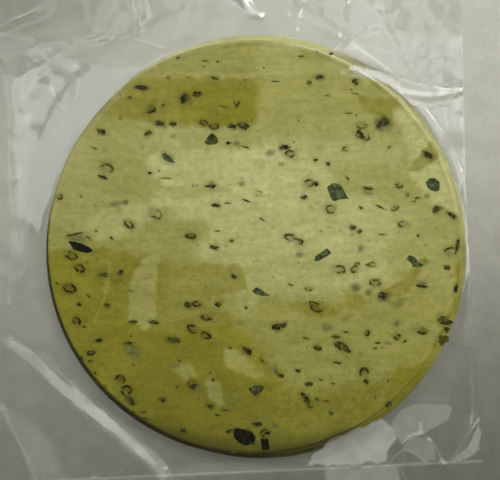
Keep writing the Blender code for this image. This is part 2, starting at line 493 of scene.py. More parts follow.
seeds = {
    "band": 0.70,  # width of the dark outline
    "bandSpread": (0.75, 1.15),
    "bandMost": 0.30,  # of the seed's width
    "dip": 0.02,
    "shiftClosed": 0.15,  # how far the heart lies off the middle, in widths of the band
    "shiftOpen": 0.35,
    "unevenness": 0.22,
    "opening": 0.65,  # half of it, in radians
    "strayGaps": 0.07,  # how often a closed outline is broken
    # Seeds on dough with at least this much painted sheen get the sheened copies of their finishes
    "sheenFrom": 0.30,  # paleness of the dough from which the seed on it looks pale too
}

sunken = {
    # Leaf and chilli just under the surface, round each fleck and scattered, and painted shade in broad
    # greyer patches near the bottom of the top disc
    "seed": 23,
    "fadedLeafAndShade": {"pale leaf": 0.9, "shaded patch": 0.26},
    "dark": {"leaf": 0.6, "seed": 0.40, "stroke": 0.35, "speck": 0.35},
    "grow": (1.25, 1.4),
    "count": 170,
    "lengths": (4, 11),
    "turns": (-60, 30),
    "slimness": (0.3, 0.7),
    "strengths": (0.08, 0.35),
    "raggedness": 0.16,
    "edge": 6,
}

rimLightAndShade = {
    # Painted shade on the shaded side of the rim
    "shadeFrom": (-0.8, -0.6),
    "shadeSteep": 1.5,
    "shade": 0.75,
    "shadeAt": 0.1,
    "shadeSoftness": 0.17,
    # The lowest part of the rim: painted shade, a dark line and a softer shade reaching inwards from it
    "footSteep": 1.6,
    "footStart": 0.7,
    "footLine": 0.9,
    "footLineWidth": 0.45,
    "footShade": 0.3,
    "footShadeReach": 7,
    # The lit side: a painted highlight, a pale line with a line of painted shade inside it
    "litFrom": (0.6, 0.8),
    "litSteep": 1.8,
    "litStart": 0.8,
    "litLine": 0.6,
    "litLineAt": 0.4,
    "litLineWidth": 0.3,
    "litShade": 0.25,
    "litShadeAt": 1.5,
    "litShadeWidth": 0.5,
}

# How pale the dough is painted, zone by zone. Pale zones are a painted sheen that stands in for the film's
# reflection where it stands off the dough, and zones below 0 are painted shade, darkest towards the
# bottom.
# Each zone: paleness, how soft its edge is in pixels, and its outline in the picture. Later zones lie on
# top.
paleZones = [
    (0.26, 30, [(20, 20), (490, 20), (490, 500), (20, 500)]),
    (0.66, 80, [(150, 120), (300, 130), (400, 150), (420, 220), (420, 290), (330, 330), (250, 300),
        (190, 250)]),
    (0.38, 24, [(386, 236), (456, 232), (452, 300), (420, 312), (392, 290)]),
    (0.52, 16, [(236, 257), (330, 255), (330, 276), (240, 280)]),
    (0.23, 40, [(262, 300), (440, 280), (450, 330), (400, 380), (330, 410), (285, 400), (270, 350)]),
    (0.36, 10, [(52, 130), (150, 128), (160, 200), (60, 240), (48, 200)]),
    (0.4, 3, [(92, 140), (95, 155), (83, 176), (77, 200), (72, 213), (52, 226), (46, 200), (66, 160)]),
    (0.74, 26, [(190, 142), (264, 140), (300, 160), (280, 220), (215, 250), (180, 230), (170, 180)]),
    (0.34, 12, [(336, 164), (384, 164), (432, 190), (440, 205), (400, 203), (360, 197), (330, 196)]),
    (0.24, 5, [(136, 77), (180, 50), (250, 34), (330, 44), (345, 76), (262, 78), (200, 76)]),
    (0.4, 3, [(165, 72), (200, 73), (262, 74), (284, 72), (262, 78), (200, 77)]),
    (0.42, 14, [(256, 44), (300, 46), (340, 60), (352, 78), (262, 79), (256, 60)]),
    (0.5, 6, [(262, 38), (300, 43), (340, 57), (374, 79), (366, 85), (330, 67), (296, 54), (262, 47)]),
    (0.36, 3, [(196, 62), (230, 62), (262, 64), (262, 67), (230, 65)]),
    (0.36, 3, [(250, 46), (268, 50), (292, 55), (280, 56), (262, 52)]),
    (0.12, 6, [(222, 40), (262, 36), (300, 40), (262, 44), (226, 46)]),
    (0.26, 8, [(300, 48), (330, 52), (334, 60), (318, 64), (300, 60)]),
    (0.3, 20, [(262, 90), (340, 88), (352, 124), (330, 134), (262, 134)]),
    (0.07, 9, [(130, 82), (190, 77), (258, 79), (262, 100), (256, 124), (228, 130), (160, 123),
        (118, 118), (98, 114)]),
    (0.06, 2, [(138, 78), (200, 78), (252, 79), (256, 96), (200, 92), (150, 90), (122, 92)]),
    (-0.06, 9, [(178, 84), (256, 84), (254, 122), (210, 127), (182, 120)]),
    (0.31, 6, [(108, 142), (120, 140), (140, 158), (150, 170), (150, 182), (136, 197), (112, 198),
        (103, 182)]),
    (0.4, 10, [(176, 129), (262, 127), (262, 146), (182, 148)]),
    (0.46, 6, [(118, 138), (150, 140), (162, 150), (150, 156), (136, 152)]),
    (0.72, 9, [(192, 168), (220, 166), (246, 182), (242, 194), (214, 188), (196, 182)]),
    (0.74, 6, [(148, 160), (158, 153), (168, 156), (178, 168), (178, 178), (166, 186), (158, 178),
        (150, 172)]),
    (0.74, 5, [(150, 198), (175, 198), (200, 195), (236, 188), (252, 190), (226, 200), (190, 206),
        (150, 207)]),
    (0.5, 2, [(151, 190), (165, 186), (185, 186), (205, 181), (226, 185), (232, 190), (214, 194),
        (190, 198), (158, 197)]),
    (0.54, 8, [(84, 222), (104, 210), (130, 204), (160, 206), (164, 216), (140, 226), (116, 236),
        (96, 240)]),
    (0.64, 14, [(196, 236), (262, 232), (290, 244), (270, 262), (200, 261)]),
    (0.27, 16, [(92, 256), (124, 246), (150, 230), (176, 221), (204, 222), (208, 236), (192, 254),
        (186, 280), (100, 280)]),
    (0.03, 14, [(20, 262), (94, 258), (124, 252), (160, 258), (184, 272), (186, 300), (200, 480),
        (20, 400)]),
    (0.04, 2, [(20, 249), (80, 250), (112, 248), (116, 262), (110, 290), (20, 300)]),
    (0.15, 26, [(168, 268), (226, 270), (232, 300), (226, 340), (204, 350), (160, 330)]),
    (0.34, 20, [(150, 322), (214, 322), (226, 352), (204, 374), (146, 362)]),
    (-0.2, 40, [(120, 330), (228, 326), (250, 340), (276, 384), (330, 450), (250, 490), (130, 470)]),
    (-0.04, 12, [(40, 262), (96, 262), (110, 300), (100, 350), (130, 400), (180, 430), (150, 450),
        (40, 340)]),
    (0.18, 3, [(199, 262), (240, 264), (250, 290), (210, 292), (186, 280), (184, 264)]),
    (0.34, 8, [(146, 236), (158, 235), (159, 262), (146, 264), (142, 250)]),
    (0.32, 2, [(142, 258), (157, 260), (157, 318), (153, 327), (146, 331), (139, 325), (130, 319),
        (128, 300), (131, 278)]),
    (0.16, 1.6, [(110, 262), (112, 270), (107, 290), (97, 318), (93, 328), (92, 324), (103, 292),
        (108, 274)]),
    (0.32, 5, [(203, 382), (213, 377), (222, 391), (228, 408), (217, 404), (208, 396)]),
    (0.26, 7, [(221, 346), (234, 350), (262, 370), (268, 382), (252, 376), (226, 366)]),
    (0.24, 6, [(172, 366), (192, 364), (200, 376), (184, 380)]),
    (-0.18, 5, [(244, 376), (262, 378), (275, 386), (278, 402), (276, 426), (258, 442), (238, 436),
        (236, 400)]),
    (0.02, 20, [(286, 390), (390, 384), (360, 424), (300, 436), (276, 426)]),
    (0.1, 2, [(426, 256), (428, 262), (420, 270), (415, 281), (409, 291), (400, 296), (390, 297),
        (379, 292), (388, 287), (399, 280), (409, 274), (415, 267), (418, 260)]),
    (0.1, 4, [(349, 292), (360, 293), (367, 300), (362, 308), (352, 313), (345, 306)]),
    (0.08, 5, [(287, 306), (300, 301), (325, 302), (339, 308), (340, 314), (325, 319), (305, 317),
        (291, 313)]),
    (0.2, 8, [(254, 300), (280, 296), (286, 312), (276, 326), (256, 330)]),
    (0.08, 5, [(442, 330), (436, 350), (425, 361), (412, 367), (400, 367), (393, 377), (387, 383),
        (385, 398), (400, 404), (470, 360)]),
    (0.08, 3, [(386, 401), (372, 404), (356, 411), (343, 417), (346, 421), (362, 415), (384, 408)]),
    (0.1, 3, [(355, 94), (372, 98), (386, 99), (400, 101), (411, 108), (402, 116), (380, 116),
        (368, 110), (360, 104)]),
    (0.7, 10, [(392, 111), (400, 124), (407, 141), (410, 160), (410, 176), (420, 191), (433, 204),
        (452, 214), (470, 214), (470, 150), (430, 95)]),
    (0.22, 2, [(410, 171), (413, 163), (420, 152), (428, 142), (436, 136), (444, 140), (442, 157),
        (433, 162), (424, 168)]),
    (-0.14, 8, [(456, 262), (467, 262), (465, 296), (454, 332), (440, 355), (434, 348), (446, 322),
        (456, 296)]),
    (-0.42, 22, [(170, 424), (250, 446), (320, 436), (345, 424), (350, 460), (180, 470), (120, 430),
        (128, 412)]),
]

zoneShake = (0.55, 0.22)  # how far the edges of all zones are shaken out of straight, coarsely and finely

bigLeaves = {
    # Middle in the picture, outline in pixels from it with v downwards, and its kind: 0 is plain garlic
    # leaf, 1 is fresh and green, 2 nearly black
    "square leaf": ((337, 192.5), [(-10, -5.5), (-4, -9.5), (2, -8.5), (6.5, -3.5), (10, 3.5),
        (13, 6.5), (3, 7.5), (-3, 9.5), (-6, 7.5), (-8, 1.5)], 1),
    "cut strip": ((323, 254.8), [(-9, 6.2), (-8, 1.2), (-3, -1.8), (4, -6.8), (9, -1.8), (3, 2.2),
        (-4, 6.2)], 1),
    "dark leaf": ((243, 437), [(-9.5, -9.6), (-1, -8), (9, -6), (13.5, 0.2), (12, 6), (3, 10),
        (-5.5, 6), (-10, 0)], 2),
    "arm of the dark leaf": ((230.5, 430.6), [(-5.5, 1.6), (-2, -1.2), (5.5, -2.6), (6.5, 1),
        (1.5, 2.2), (-3.5, 3)], 0),
    "round leaf": ((433.4, 185), [(-7.4, -3), (-3.4, -7), (1.6, -7), (6.6, -3), (6.6, 5), (2.6, 7),
        (-3.4, 5), (-6.4, 2)], 1),
    "wet leaf": ((211.6, 139.6), [(-7.6, 3.4), (-5.6, -1), (-2.6, -4.6), (0.4, -6.6), (3.4, -4.6),
        (6.4, -0.6), (6.4, 3.4), (1.4, 5.4), (-4.6, 5.4)], 0),
    "ragged leaf": ((415, 262), [(-9, -3), (-6, -7), (-1, -5.6), (2, -2), (3, 0), (9, 3), (5, 5.6),
        (-2, 5.4), (-4, 1)], 1),
    "folded leaf": ((80.5, 246.6), [(-13, -6), (-6, -5.4), (2, -3), (9.5, 0.6), (13, 4.4), (7.5, 6.6),
        (-1, 5), (-8, 2.6)], 2),
    "cut square": ((265, 444.6), [(-4.5, -6.5), (3.5, -6), (5, 5.5), (-3, 6.5)], 2),
    "torn leaf": ((168.5, 158.5), [(-7, -4), (-3, -5.5), (1, -2), (4, 1), (7, 5), (1, 3.5), (-3, 2),
        (-6, 0)], 1),
    "edge leaf": ((258, 389.5), [(-7, -2), (-3, -4.5), (3, -4.5), (7, -2.5), (4, 2), (0, 5.5),
        (-4, 3)], 1),
    "long leaf": ((261, 292), [(-9, -1), (-5, -5), (0, -3), (5, 1), (10, 3.4), (2, 4.2), (-6, 2)], 1),
}


def insideOutline(x, y, outline, level):
    # Distance from each point to the outline, positive inside
    corners = [spotInPhoto(u, v, level) for u, v in outline]
    nearest = np.full_like(x, farAway)
    inside = np.zeros(x.shape, bool)
    for start, end in zip(corners, corners[1:] + corners[:1]):
        run = end - start
        way = np.clip(((x - start.x) * run.x + (y - start.y) * run.y) / run.length_squared, 0, 1)
        nearest = np.minimum(nearest, np.hypot(x - start.x - run.x * way, y - start.y - run.y * way))
        crosses = (start.y > y) != (end.y > y)
        inside ^= crosses & (x < start.x + (y - start.y) * run.x / (run.y or hairsBreadth))
    return np.where(inside, nearest, -nearest)


def paintZones(x, y, zones, start, level=photo["stackLevel"]):
    # The level is the height at which the outlines are drawn
    coarse, fine = zoneShake
    shakenX = x + coarse * waves(x, y, "zone edges across") + fine * waves(x, y, "zone edges across, fine")
    shakenY = y + coarse * waves(x, y, "zone edges along") + fine * waves(x, y, "zone edges along, fine")
    painted = np.full_like(x, start)
    for value, softness, outline in zones:
        reach = insideOutline(shakenX, shakenY, outline, level) / (softness * pixelSize())
        share = ease(np.clip(reach + 0.5, 0, 1))
        painted = painted * (1 - share) + value * share
    return painted


def paintDoughLightAndFlecks(mesh, isTop):
    # Paints on each point how pale the dough looks, as painted sheen and painted shade, and where leaf and
    # chilli lie just under the surface
    verts = list(mesh.verts)
    x, y = np.array([vert.co.xy for vert in verts]).T
    if isTop:
        pale = paintZones(x, y, paleZones, 0)
        dark, fadedLeafAndShade = sunkenFlecks(x, y)
    else:
        # Painted light on the lower discs, paler towards the upper right
        across, along, _ = fromTop(x, y)
        towards = (along + discs["lowerLightLean"] * across) / discs["radius"]
        upper = np.clip(towards * discs["lowerLightSteep"] - discs["lowerLightStart"], 0, 1)
        least, more = discs["lowerLight"]
        pale = least + more * upper + discs["lowerMottle"] * waves(x, y, "lower discs")
        dark = fadedLeafAndShade = np.zeros_like(x)
    for name, values in (("pale", pale - rimShadeAndHighlight(x, y)), ("sunken", dark), ("fadedLeafAndShade", fadedLeafAndShade)):
        layer = mesh.verts.layers.float.new(name)
        for vert, value in zip(mesh.verts, values):
            vert[layer] = value


def rimShadeAndHighlight(x, y):
    # Painted shade along the rim on its shaded side and lowest part, and a painted highlight line on its
    # lit side
    across, along, reach = fromTop(x, y)
    inward = discs["radius"] - reach
    away = np.maximum(reach, 1)
    painting = rimLightAndShade
    shadeX, shadeY = painting["shadeFrom"]
    shaded = np.clip((across * shadeX + along * shadeY) / away * painting["shadeSteep"], 0, 1)
    dark = shaded * painting["shade"] * rise((painting["shadeAt"] - inward) / painting["shadeSoftness"])
    lowest = np.clip(-painting["footSteep"] * along / away - painting["footStart"], 0, 1)
    dark += lowest * painting["footLine"] * bell(inward, painting["footLineWidth"])
    dark += lowest * painting["footShade"] * np.exp(-np.maximum(inward, 0) / painting["footShadeReach"])
    litX, litY = painting["litFrom"]
    lit = np.clip((across * litX + along * litY) / away * painting["litSteep"] - painting["litStart"], 0, 1)
    dark -= lit * painting["litLine"] * bell(inward - painting["litLineAt"], painting["litLineWidth"])
    return dark + lit * painting["litShade"] * bell(inward - painting["litShadeAt"], painting["litShadeWidth"])


def scattered(draw, share=1):
    # A random spot on the top disc, out to this share of its radius
    radius = share * discs["radius"] * math.sqrt(draw.random())
    angle = draw.uniform(0, math.tau)
    return topCentre[0] + radius * math.cos(angle), topCentre[1] + radius * math.sin(angle)


def sunkenFlecks(x, y):
    draw = random.Random(sunken["seed"])
    fadedLeafAndShade, dark = [], []
    for kind, strength in sunken["fadedLeafAndShade"].items():
        for u, v, length, width, turn in flecks[kind]:
            fadedLeafAndShade.append((*spotInPhoto(u, v, photo["stackLevel"]), length, width, turn, strength))
    longer, wider = sunken["grow"]
    for kind, strength in sunken["dark"].items():
        for u, v, length, width, turn, *_ in flecks[kind]:
            spot = spotInPhoto(u, v, photo["stackLevel"])
            dark.append((*spot, length * longer, width * wider, turn, strength))
    for _ in range(sunken["count"]):
        spot = scattered(draw)
        length, turn = draw.uniform(*sunken["lengths"]), draw.uniform(*sunken["turns"])
        marks = draw.choice((dark, fadedLeafAndShade))
        width = length * draw.uniform(*sunken["slimness"])
        marks.append((*spot, length, width, turn, draw.uniform(*sunken["strengths"])))
    return spreadMarks(x, y, dark), spreadMarks(x, y, fadedLeafAndShade)


def spreadMarks(x, y, marks):
    # Soft ragged ovals, each with its own strength
    ragged = 1 + sunken["raggedness"] * waves(x, y, "ragged flecks")
    painting = np.zeros_like(x)
    for centreX, centreY, length, width, turn, strength in marks:
        angle = math.radians(turn) - bagTurn
        along = (x - centreX) * math.cos(angle) + (y - centreY) * math.sin(angle)
        across = (y - centreY) * math.cos(angle) - (x - centreX) * math.sin(angle)
        spread = np.hypot(along / length, across / width) * 2 / pixelSize() * ragged
        painting = np.maximum(painting, strength * rise((1 - spread) * sunken["edge"]))
    return painting


def looseOutline(draw, length, width, shape):
    points = []
    for corner in range(shape["corners"]):
        angle = math.tau * (corner + draw.uniform(-0.25, 0.25)) / shape["corners"]
        reach = 1 + draw.uniform(-shape["rough"], shape["rough"])
        points.append((length / 2 * reach * math.cos(angle), width / 2 * reach * math.sin(angle)))
    return points


def pressOutline(mesh, outline, spot, turn, shape, tilt=(0, 0)):
    # Presses one flat bit with this outline into the dough: a low plate with a smaller upper face
    place = Vector((*spot, float(discTop(*spot)) - shape["sink"]))
    verts = bmesh.ops.create_circle(mesh, cap_ends=True, segments=len(outline), radius=1)["verts"]
    for vert, (x, y) in zip(verts, outline):
        vert.co = (x, y, 0)
    face = next(item for item in verts[0].link_faces if set(item.verts) == set(verts))
    top = bmesh.ops.extrude_face_region(mesh, geom=[face])["geom"]
    lifted = [item for item in top if isinstance(item, bmesh.types.BMVert)]
    middle = sum((vert.co for vert in lifted), Vector()) / len(lifted)
    for vert in lifted:
        vert.co = middle + (vert.co - middle) * (1 - shape["drawIn"]) + Vector((0, 0, shape["thick"]))
    lean = Matrix.Rotation(tilt[0], 4, "X") @ Matrix.Rotation(tilt[1], 4, "Y")
    move = Matrix.Translation(place) @ lean @ Matrix.Rotation(turn, 4, "Z")
    bmesh.ops.transform(mesh, matrix=move, verts=verts + lifted)
    faces = (item for item in top if isinstance(item, bmesh.types.BMFace))
    return next(item for item in faces if set(item.verts) == set(lifted))


def pressFleck(mesh, draw, kind, fleck):
    # One fleck from the list, with an outline and a slight lean of its own
    u, v, length, width, turn = fleck
    shape = fleckShapes[kind]
    size = pixelSize() * shape["grow"]
    outline = looseOutline(draw, length * size, width * size, shape)
    tilt = [draw.uniform(-shape["lean"], shape["lean"]) for _ in range(2)]
    spot = spotInPhoto(u, v, photo["stackLevel"])
    return pressOutline(mesh, outline, spot, math.radians(turn) - bagTurn, shape, tilt)


def makeLeaves(materials):
    draw = random.Random(7)
    mesh = bmesh.new()
    size = pixelSize()
    for fleck in flecks["leaf"]:
        pressFleck(mesh, draw, "leaf", fleck)
    for middle, corners, kind in bigLeaves.values():
        outline = [(x * size, -y * size) for x, y in reversed(corners)]
        spot = spotInPhoto(*middle, photo["stackLevel"])
        upper = pressOutline(mesh, outline, spot, -bagTurn, fleckShapes["big leaf"])
        upper.material_index = kind
    bmesh.ops.recalc_face_normals(mesh, faces=mesh.faces)
    return addPiece("leaf_bits", mesh, materials, smooth=False)


def makeSpecks(material):
    draw = random.Random(11)
    mesh = bmesh.new()
    for kind in ("speck", "stroke", "rim"):
        for fleck in flecks[kind]:
            pressFleck(mesh, draw, kind, fleck)
    for _ in range(dust["count"]):
        spot = scattered(draw, dust["reach"])
        length = draw.uniform(*dust["lengths"])
        width = length * draw.uniform(*dust["slimness"])
        outline = looseOutline(draw, length, width, fleckShapes["dust"])
        pressOutline(mesh, outline, spot, draw.uniform(0, math.tau), fleckShapes["dust"])
    bmesh.ops.recalc_face_normals(mesh, faces=mesh.faces)
    return addPiece("dark_specks", mesh, [material], smooth=False)


def makeSeeds(materials):
    # Cut seeds: a dark broken outline, thicker on one side, round a pale heart
    draw = random.Random(3)
    mesh = bmesh.new()
    for *fleck, opening in flecks["seed"]:
        spot = spotInPhoto(*fleck[:2], photo["stackLevel"])
        before = set(mesh.faces)
        upper = pressFleck(mesh, draw, "seed", fleck)
        widest = seeds["bandMost"] * fleck[3] * pixelSize()
        band = min(seeds["band"] * draw.uniform(*seeds["bandSpread"]), widest)
        bmesh.ops.inset_region(mesh, faces=[upper], thickness=band, depth=-seeds["dip"])
        paleness = float(paintZones(np.array([spot.x]), np.array([spot.y]), paleZones, 0)[0])
        # Seeds on dough with painted sheen get sheened copies of their finishes
        rim, heart = (0, 1) if paleness < seeds["sheenFrom"] else (2, 3)
        side = math.radians(draw.uniform(0, 360) if opening is None else opening) - bagTurn
        shift = band * (seeds["shiftClosed"] if opening is None else seeds["shiftOpen"])
        for vert in upper.verts:
            uneven = Vector((draw.uniform(-1, 1), draw.uniform(-1, 1), 0)) * seeds["unevenness"]
            vert.co += Vector((math.cos(side), math.sin(side), 0)) * shift + uneven * band
        around = [face for edge in upper.edges for face in edge.link_faces if face != upper]
        for face in set(mesh.faces) - before:
            face.material_index = rim
        upper.material_index = heart
        for face in around:
            middle = face.calc_center_median().xy - spot
            away = (math.atan2(middle.y, middle.x) - side + math.pi) % math.tau - math.pi
            if opening is None:
                gone = draw.random() < seeds["strayGaps"]
            else:
                gone = abs(away) < seeds["opening"]
            face.material_index = heart if gone else rim
    bmesh.ops.recalc_face_normals(mesh, faces=mesh.faces)
    return addPiece("chilli_seeds", mesh, materials, smooth=False)


doughLook = {
    # Each colour from its dark to its light tone, in linear red, green and blue
    "deep": ((0.270, 0.250, 0.015), (0.430, 0.405, 0.044)),
    # Painted sheen: the tones the dough takes where the film's reflection is painted on it
    "paintedSheen": ((0.72, 0.72, 0.282), (0.915, 0.92, 0.432)),
    "greyGreen": ((0.095, 0.108, 0.016), (0.215, 0.240, 0.080)),
    # Painted shade: the tone that the rim's shaded side and the zones below 0 darken to
    "paintedShade": (0.060, 0.054, 0.006),
    "pit": (0.10, 0.095, 0.015),
    "sunken": (0.075, 0.074, 0.012),
    "rollingTurn": 22,
    "fibreTurn": 24,
    "patchiness": 0.35,
    "roughness": 0.72,
    "shine": 0.12,
    "bumpHeight": 0.16,
    "bumpStrength": 0.8,
}

leafColours = {
    # Dark and light tone of each finish of leaf, speck and seed
    "garlic leaf": ((0.010, 0.010, 0), (0.140, 0.143, 0.020)),
    "fresh garlic leaf": ((0.034, 0.054, 0.014), (0.145, 0.192, 0.060)),
    "charred garlic leaf": ((0.001, 0.001, 0), (0.016, 0.016, 0)),
    "dark specks": ((0.040, 0.035, 0), (0.200, 0.182, 0.014)),
    "seed rims": ((0.010, 0.008, 0), (0.130, 0.112, 0.004)),
    "seed hearts": ((0.14, 0.127, 0.006), (0.28, 0.258, 0.022)),
    # Sheened copies of the seed finishes, paler, for seeds under the painted sheen of the dough
    "sheened seed rims": ((0.055, 0.048, 0.002), (0.270, 0.240, 0.024)),
    "sheened seed hearts": ((0.33, 0.315, 0.080), (0.50, 0.49, 0.165)),
}


def doughMaterial():
    look = doughLook
    bench = Bench("papadum dough")
    pale, darkened, fadedLeafAndShade = (bench.attribute(name) for name in ("pale", "sunken", "fadedLeafAndShade"))
    blotches = bench.noise(14, detail=3)
    mottle = bench.noise(2.2, detail=5, roughness=0.65)
    grain = bench.noise(0.45, detail=3, roughness=0.6)
    streaks = bench.noise(4, detail=5, roughness=0.65, place=bench.stretched(look["rollingTurn"], 0.2))
    fibres = bench.noise(1, detail=4, roughness=0.6, place=bench.stretched(look["fibreTurn"], 0.22))
    pits = bench.noise(1.1, place=bench.stretched(look["fibreTurn"], 0.6)).span(0.66, 0.76)
    shade = blotches * 0.2 + mottle * 0.3 + streaks * 0.25 + fibres * 0.15 + grain * 0.2
    tone = shade.span(0.40, 0.72)
    patchy = pale + (streaks + mottle - 1) * look["patchiness"] * (pale + 0.15)
    # Painted sheen: the pale attribute lifts the deep dough towards the sheen tone
    sheenedDough = bench.mix(patchy, bench.mix(tone, *look["deep"]), bench.mix(tone, *look["paintedSheen"]))
    # Painted shade where pale is below 0
    paintedShade = bench.mix((0 - pale).span(0, 0.9), sheenedDough, look["paintedShade"])
    spotted = bench.mix(pits * 0.45, paintedShade, look["pit"])
    # Faded leaf under the surface, and painted shade in the broad patches near the bottom, both greyer
    # green
    leafy = bench.mix(fadedLeafAndShade * 0.9, spotted, bench.mix(mottle.span(0.35, 0.6), *look["greyGreen"]))
    colour = bench.mix(darkened, leafy, look["sunken"])
    height = grain * 0.3 + mottle * 0.5 + fibres * 0.3 - pits * 0.25
    normal = bench.bump(height, look["bumpHeight"], look["bumpStrength"])
    sockets = {"Base Color": colour, "Roughness": look["roughness"], "Normal": normal}
    return bench.finish(bench.node("BsdfPrincipled", {}, {**sockets, "Specular IOR Level": look["shine"]}))


def leafMaterial(name):
    bench = Bench(name)
    cloud = bench.noise(1.6, detail=3)
    fine = bench.noise(0.3)
    colour = bench.mix((cloud * 0.6 + fine * 0.4).span(0.42, 0.64), *leafColours[name])
    normal = bench.bump(fine, 0.06, 0.6)
    sockets = {"Base Color": colour, "Roughness": 0.6, "Specular IOR Level": 0.1, "Normal": normal}
    return bench.finish(bench.node("BsdfPrincipled", {}, sockets))


dough = doughMaterial()
for level in range(1, len(discs["centres"]) + 1):
    makeDisc(level, dough)
makeLeaves([leafMaterial(name) for name in ("garlic leaf", "fresh garlic leaf", "charred garlic leaf")])
makeSpecks(leafMaterial("dark specks"))
seedFinishes = ("seed rims", "seed hearts", "sheened seed rims", "sheened seed hearts")
makeSeeds([leafMaterial(name) for name in seedFinishes])
print("papadums stacked")


# The film

film = {
    "columns": 280,
    "rows": 320,
    "crowding": 0.25,  # how much closer the points lie near the edges, where the fine folds are
    "lip": 8,  # from each heat seal to the cut edge
    "lipWave": 0.25,
    "lipFall": 0.8,
    "lipGap": 0.2,
    "waistPull": 1.5,
    "waistY": -8,
    "waistReach": 48,
    "flat": 0.42,
    "under": 0.08,  # height of the lower sheet
    "leastGap": 0.22,  # between the two sheets
    "sealGap": 0.1,
    "sealRise": 5,  # how far from the seal the lower sheet starts to rise
    "overDiscs": 0.12,
    "cling": 0.10,  # the least height over the top disc
    "clingReach": 0.3,
    "drapeReach": 7,
    "upperReach": 15,  # how much further the film runs out above the stack
    "upperStart": 0.32,
    "drapeLean": (1.4, 0.8),
    "drapeSag": 1.9,
    "rimBend": 0.35,
    "weld": 2.2,
    "weldWidth": 0.45,
    "foldFade": 0.16,
    "crestRound": 0.3,
    "creaseFade": 0.3,
    "creaseRound": 0.35,
    "creaseWays": (1, 1, -0.6),
    "ripple": (0.05, 0.25),  # over the stack, and how much more out in the header
    "fineRipple": 0.07,
    # How softly surfaces run into each other
    "drapeBlend": 0.1,
    "foldBlend": 0.06,
    "roofBlend": 0.04,
    "gapBlend": 0.05,
    "clingBlend": 0.03,
    # Slackness: 0 over the stack, 1 out in the header
    "slackFrom": 3,
    "slackOver": 2.5,
    "marginSlack": 0.45,
    "headerFrom": 45,
    "headerOver": 12,
    # Round the side and under: how far in, as a share of the bag's outline, and how far down
    "underSteps": [(-0.0012, 0.5), (0, 1), (0.02, 1), (0.055, 1), (0.11, 1)],
    "underLook": {"slack": 0.3, "gapAndHighlight": 0.35, "hazeAndHighlight": 0},
}
halfWidth = packHigh.x / mm
halfLength = packHigh.y / mm
sealY = halfLength - film["lip"]

# Folds: the crest's way through the picture, its height, and how wide the flanks to its left and right are
folds = {
    "ridge across the lower left corner": ([(-4, 340), (14, 353), (28, 364), (50, 384), (75, 405),
        (105, 430), (138, 458), (152, 470), (170, 484)], 0.72, 4.4, 4.6),
    "crease in the lower left corner": ([(-6, 402), (5, 415), (13, 432), (25, 455),
        (38, 484)], 0.4, 2.4, 2),
    "top left corner": ([(-12, 31), (6, 22), (20, 16), (28, 13), (40, 4), (48, -8)], 0.34, 3, 3.4),
    "hill beside the top left corner": ([(24, 34), (45, 27), (60, 17), (76, 16),
        (94, 30)], 0.3, 2.2, 3.2),
    "small hill of the header": ([(109, 31), (115, 19), (121, 21), (123, 32)], 0.18, 1.2, 1.6),
    "upper left peak to the left edge": ([(50, 46), (35, 47), (26, 52), (18, 62), (15, 75), (13, 90),
        (11, 106)], 0.08, 4, 3),
    "crease above the stack": ([(0, 36), (20, 38), (44, 43), (65, 42), (110, 38), (130, 39), (145, 43),
        (168, 49)], 0.14, 3, 4.6),
    "upper left peak to the stack": ([(48, 47), (56, 53), (66, 60), (75, 65), (78, 80),
        (76, 98)], 0.06, 1.8, 3.6),
    "fold beside the upper left peak": ([(32, 84), (44, 83), (52, 91), (58, 100),
        (66, 110)], 0.05, 1.4, 3.4),
    "loop in the header, left side": ([(130, -12), (134, 10), (139, 23), (141, 30),
        (135, 37)], 0.3, 1.4, 1.6),
    "loop in the header, right side": ([(134, -12), (141, 5), (145, 15), (142, 25)], 0.34, 2, 1.4),
    "left pleat of the header": ([(206, -32), (212, 0), (208, 30)], 0.1, 3, 3),
    "middle pleat of the header": ([(236, -24), (244, 0), (252, 12), (264, 16)], 0.5, 2, 3),
    "right pleat of the header": ([(292, -30), (301, 4), (296, 34)], 0.3, 2.4, 2.4),
    "pleat above the upper right peak": ([(344, -26), (346, 4), (341, 15), (345, 22), (340, 40),
        (330, 57)], 0.26, 1.8, 2.6),
    "upper right peak": ([(343, 52), (355, 40), (371, 27), (384, 27), (393, 41),
        (401, 58)], 0.22, 2.4, 4.4),
    "lower right corner, outer lobe": ([(300, 466), (330, 449), (365, 432), (388, 421), (410, 405),
        (430, 402), (447, 403), (456, 412)], 0.45, 2.4, 5),
    "lower right corner, inner lobe": ([(386, 466), (388, 450), (398, 438), (392, 426)], 0.4, 2, 2),
    "lower right corner, small lobe": ([(402, 450), (411, 440), (420, 436), (430, 443),
        (438, 464)], 0.4, 1.4, 2.6),
    "lower right corner, to the edge": ([(444, 466), (457, 450), (468, 436), (484, 416)], 0.5, 2, 2.8),
}

# A fold like a roof runs down from the stack to the right edge: its crest, the crest's height at both
# ends, how steeply it falls to the left and right, and how much more steeply past its flank
roof = {
    "crest": [(348, 72), (364, 78), (378, 85), (392, 92), (408, 96), (430, 98), (446, 96), (462, 92)],
    "heights": (6.6, 0.85),
    "crestSag": 1.3,
    "slopes": (0.25, 2.4),
    "flank": 3,
    "steeper": 0.6,
}

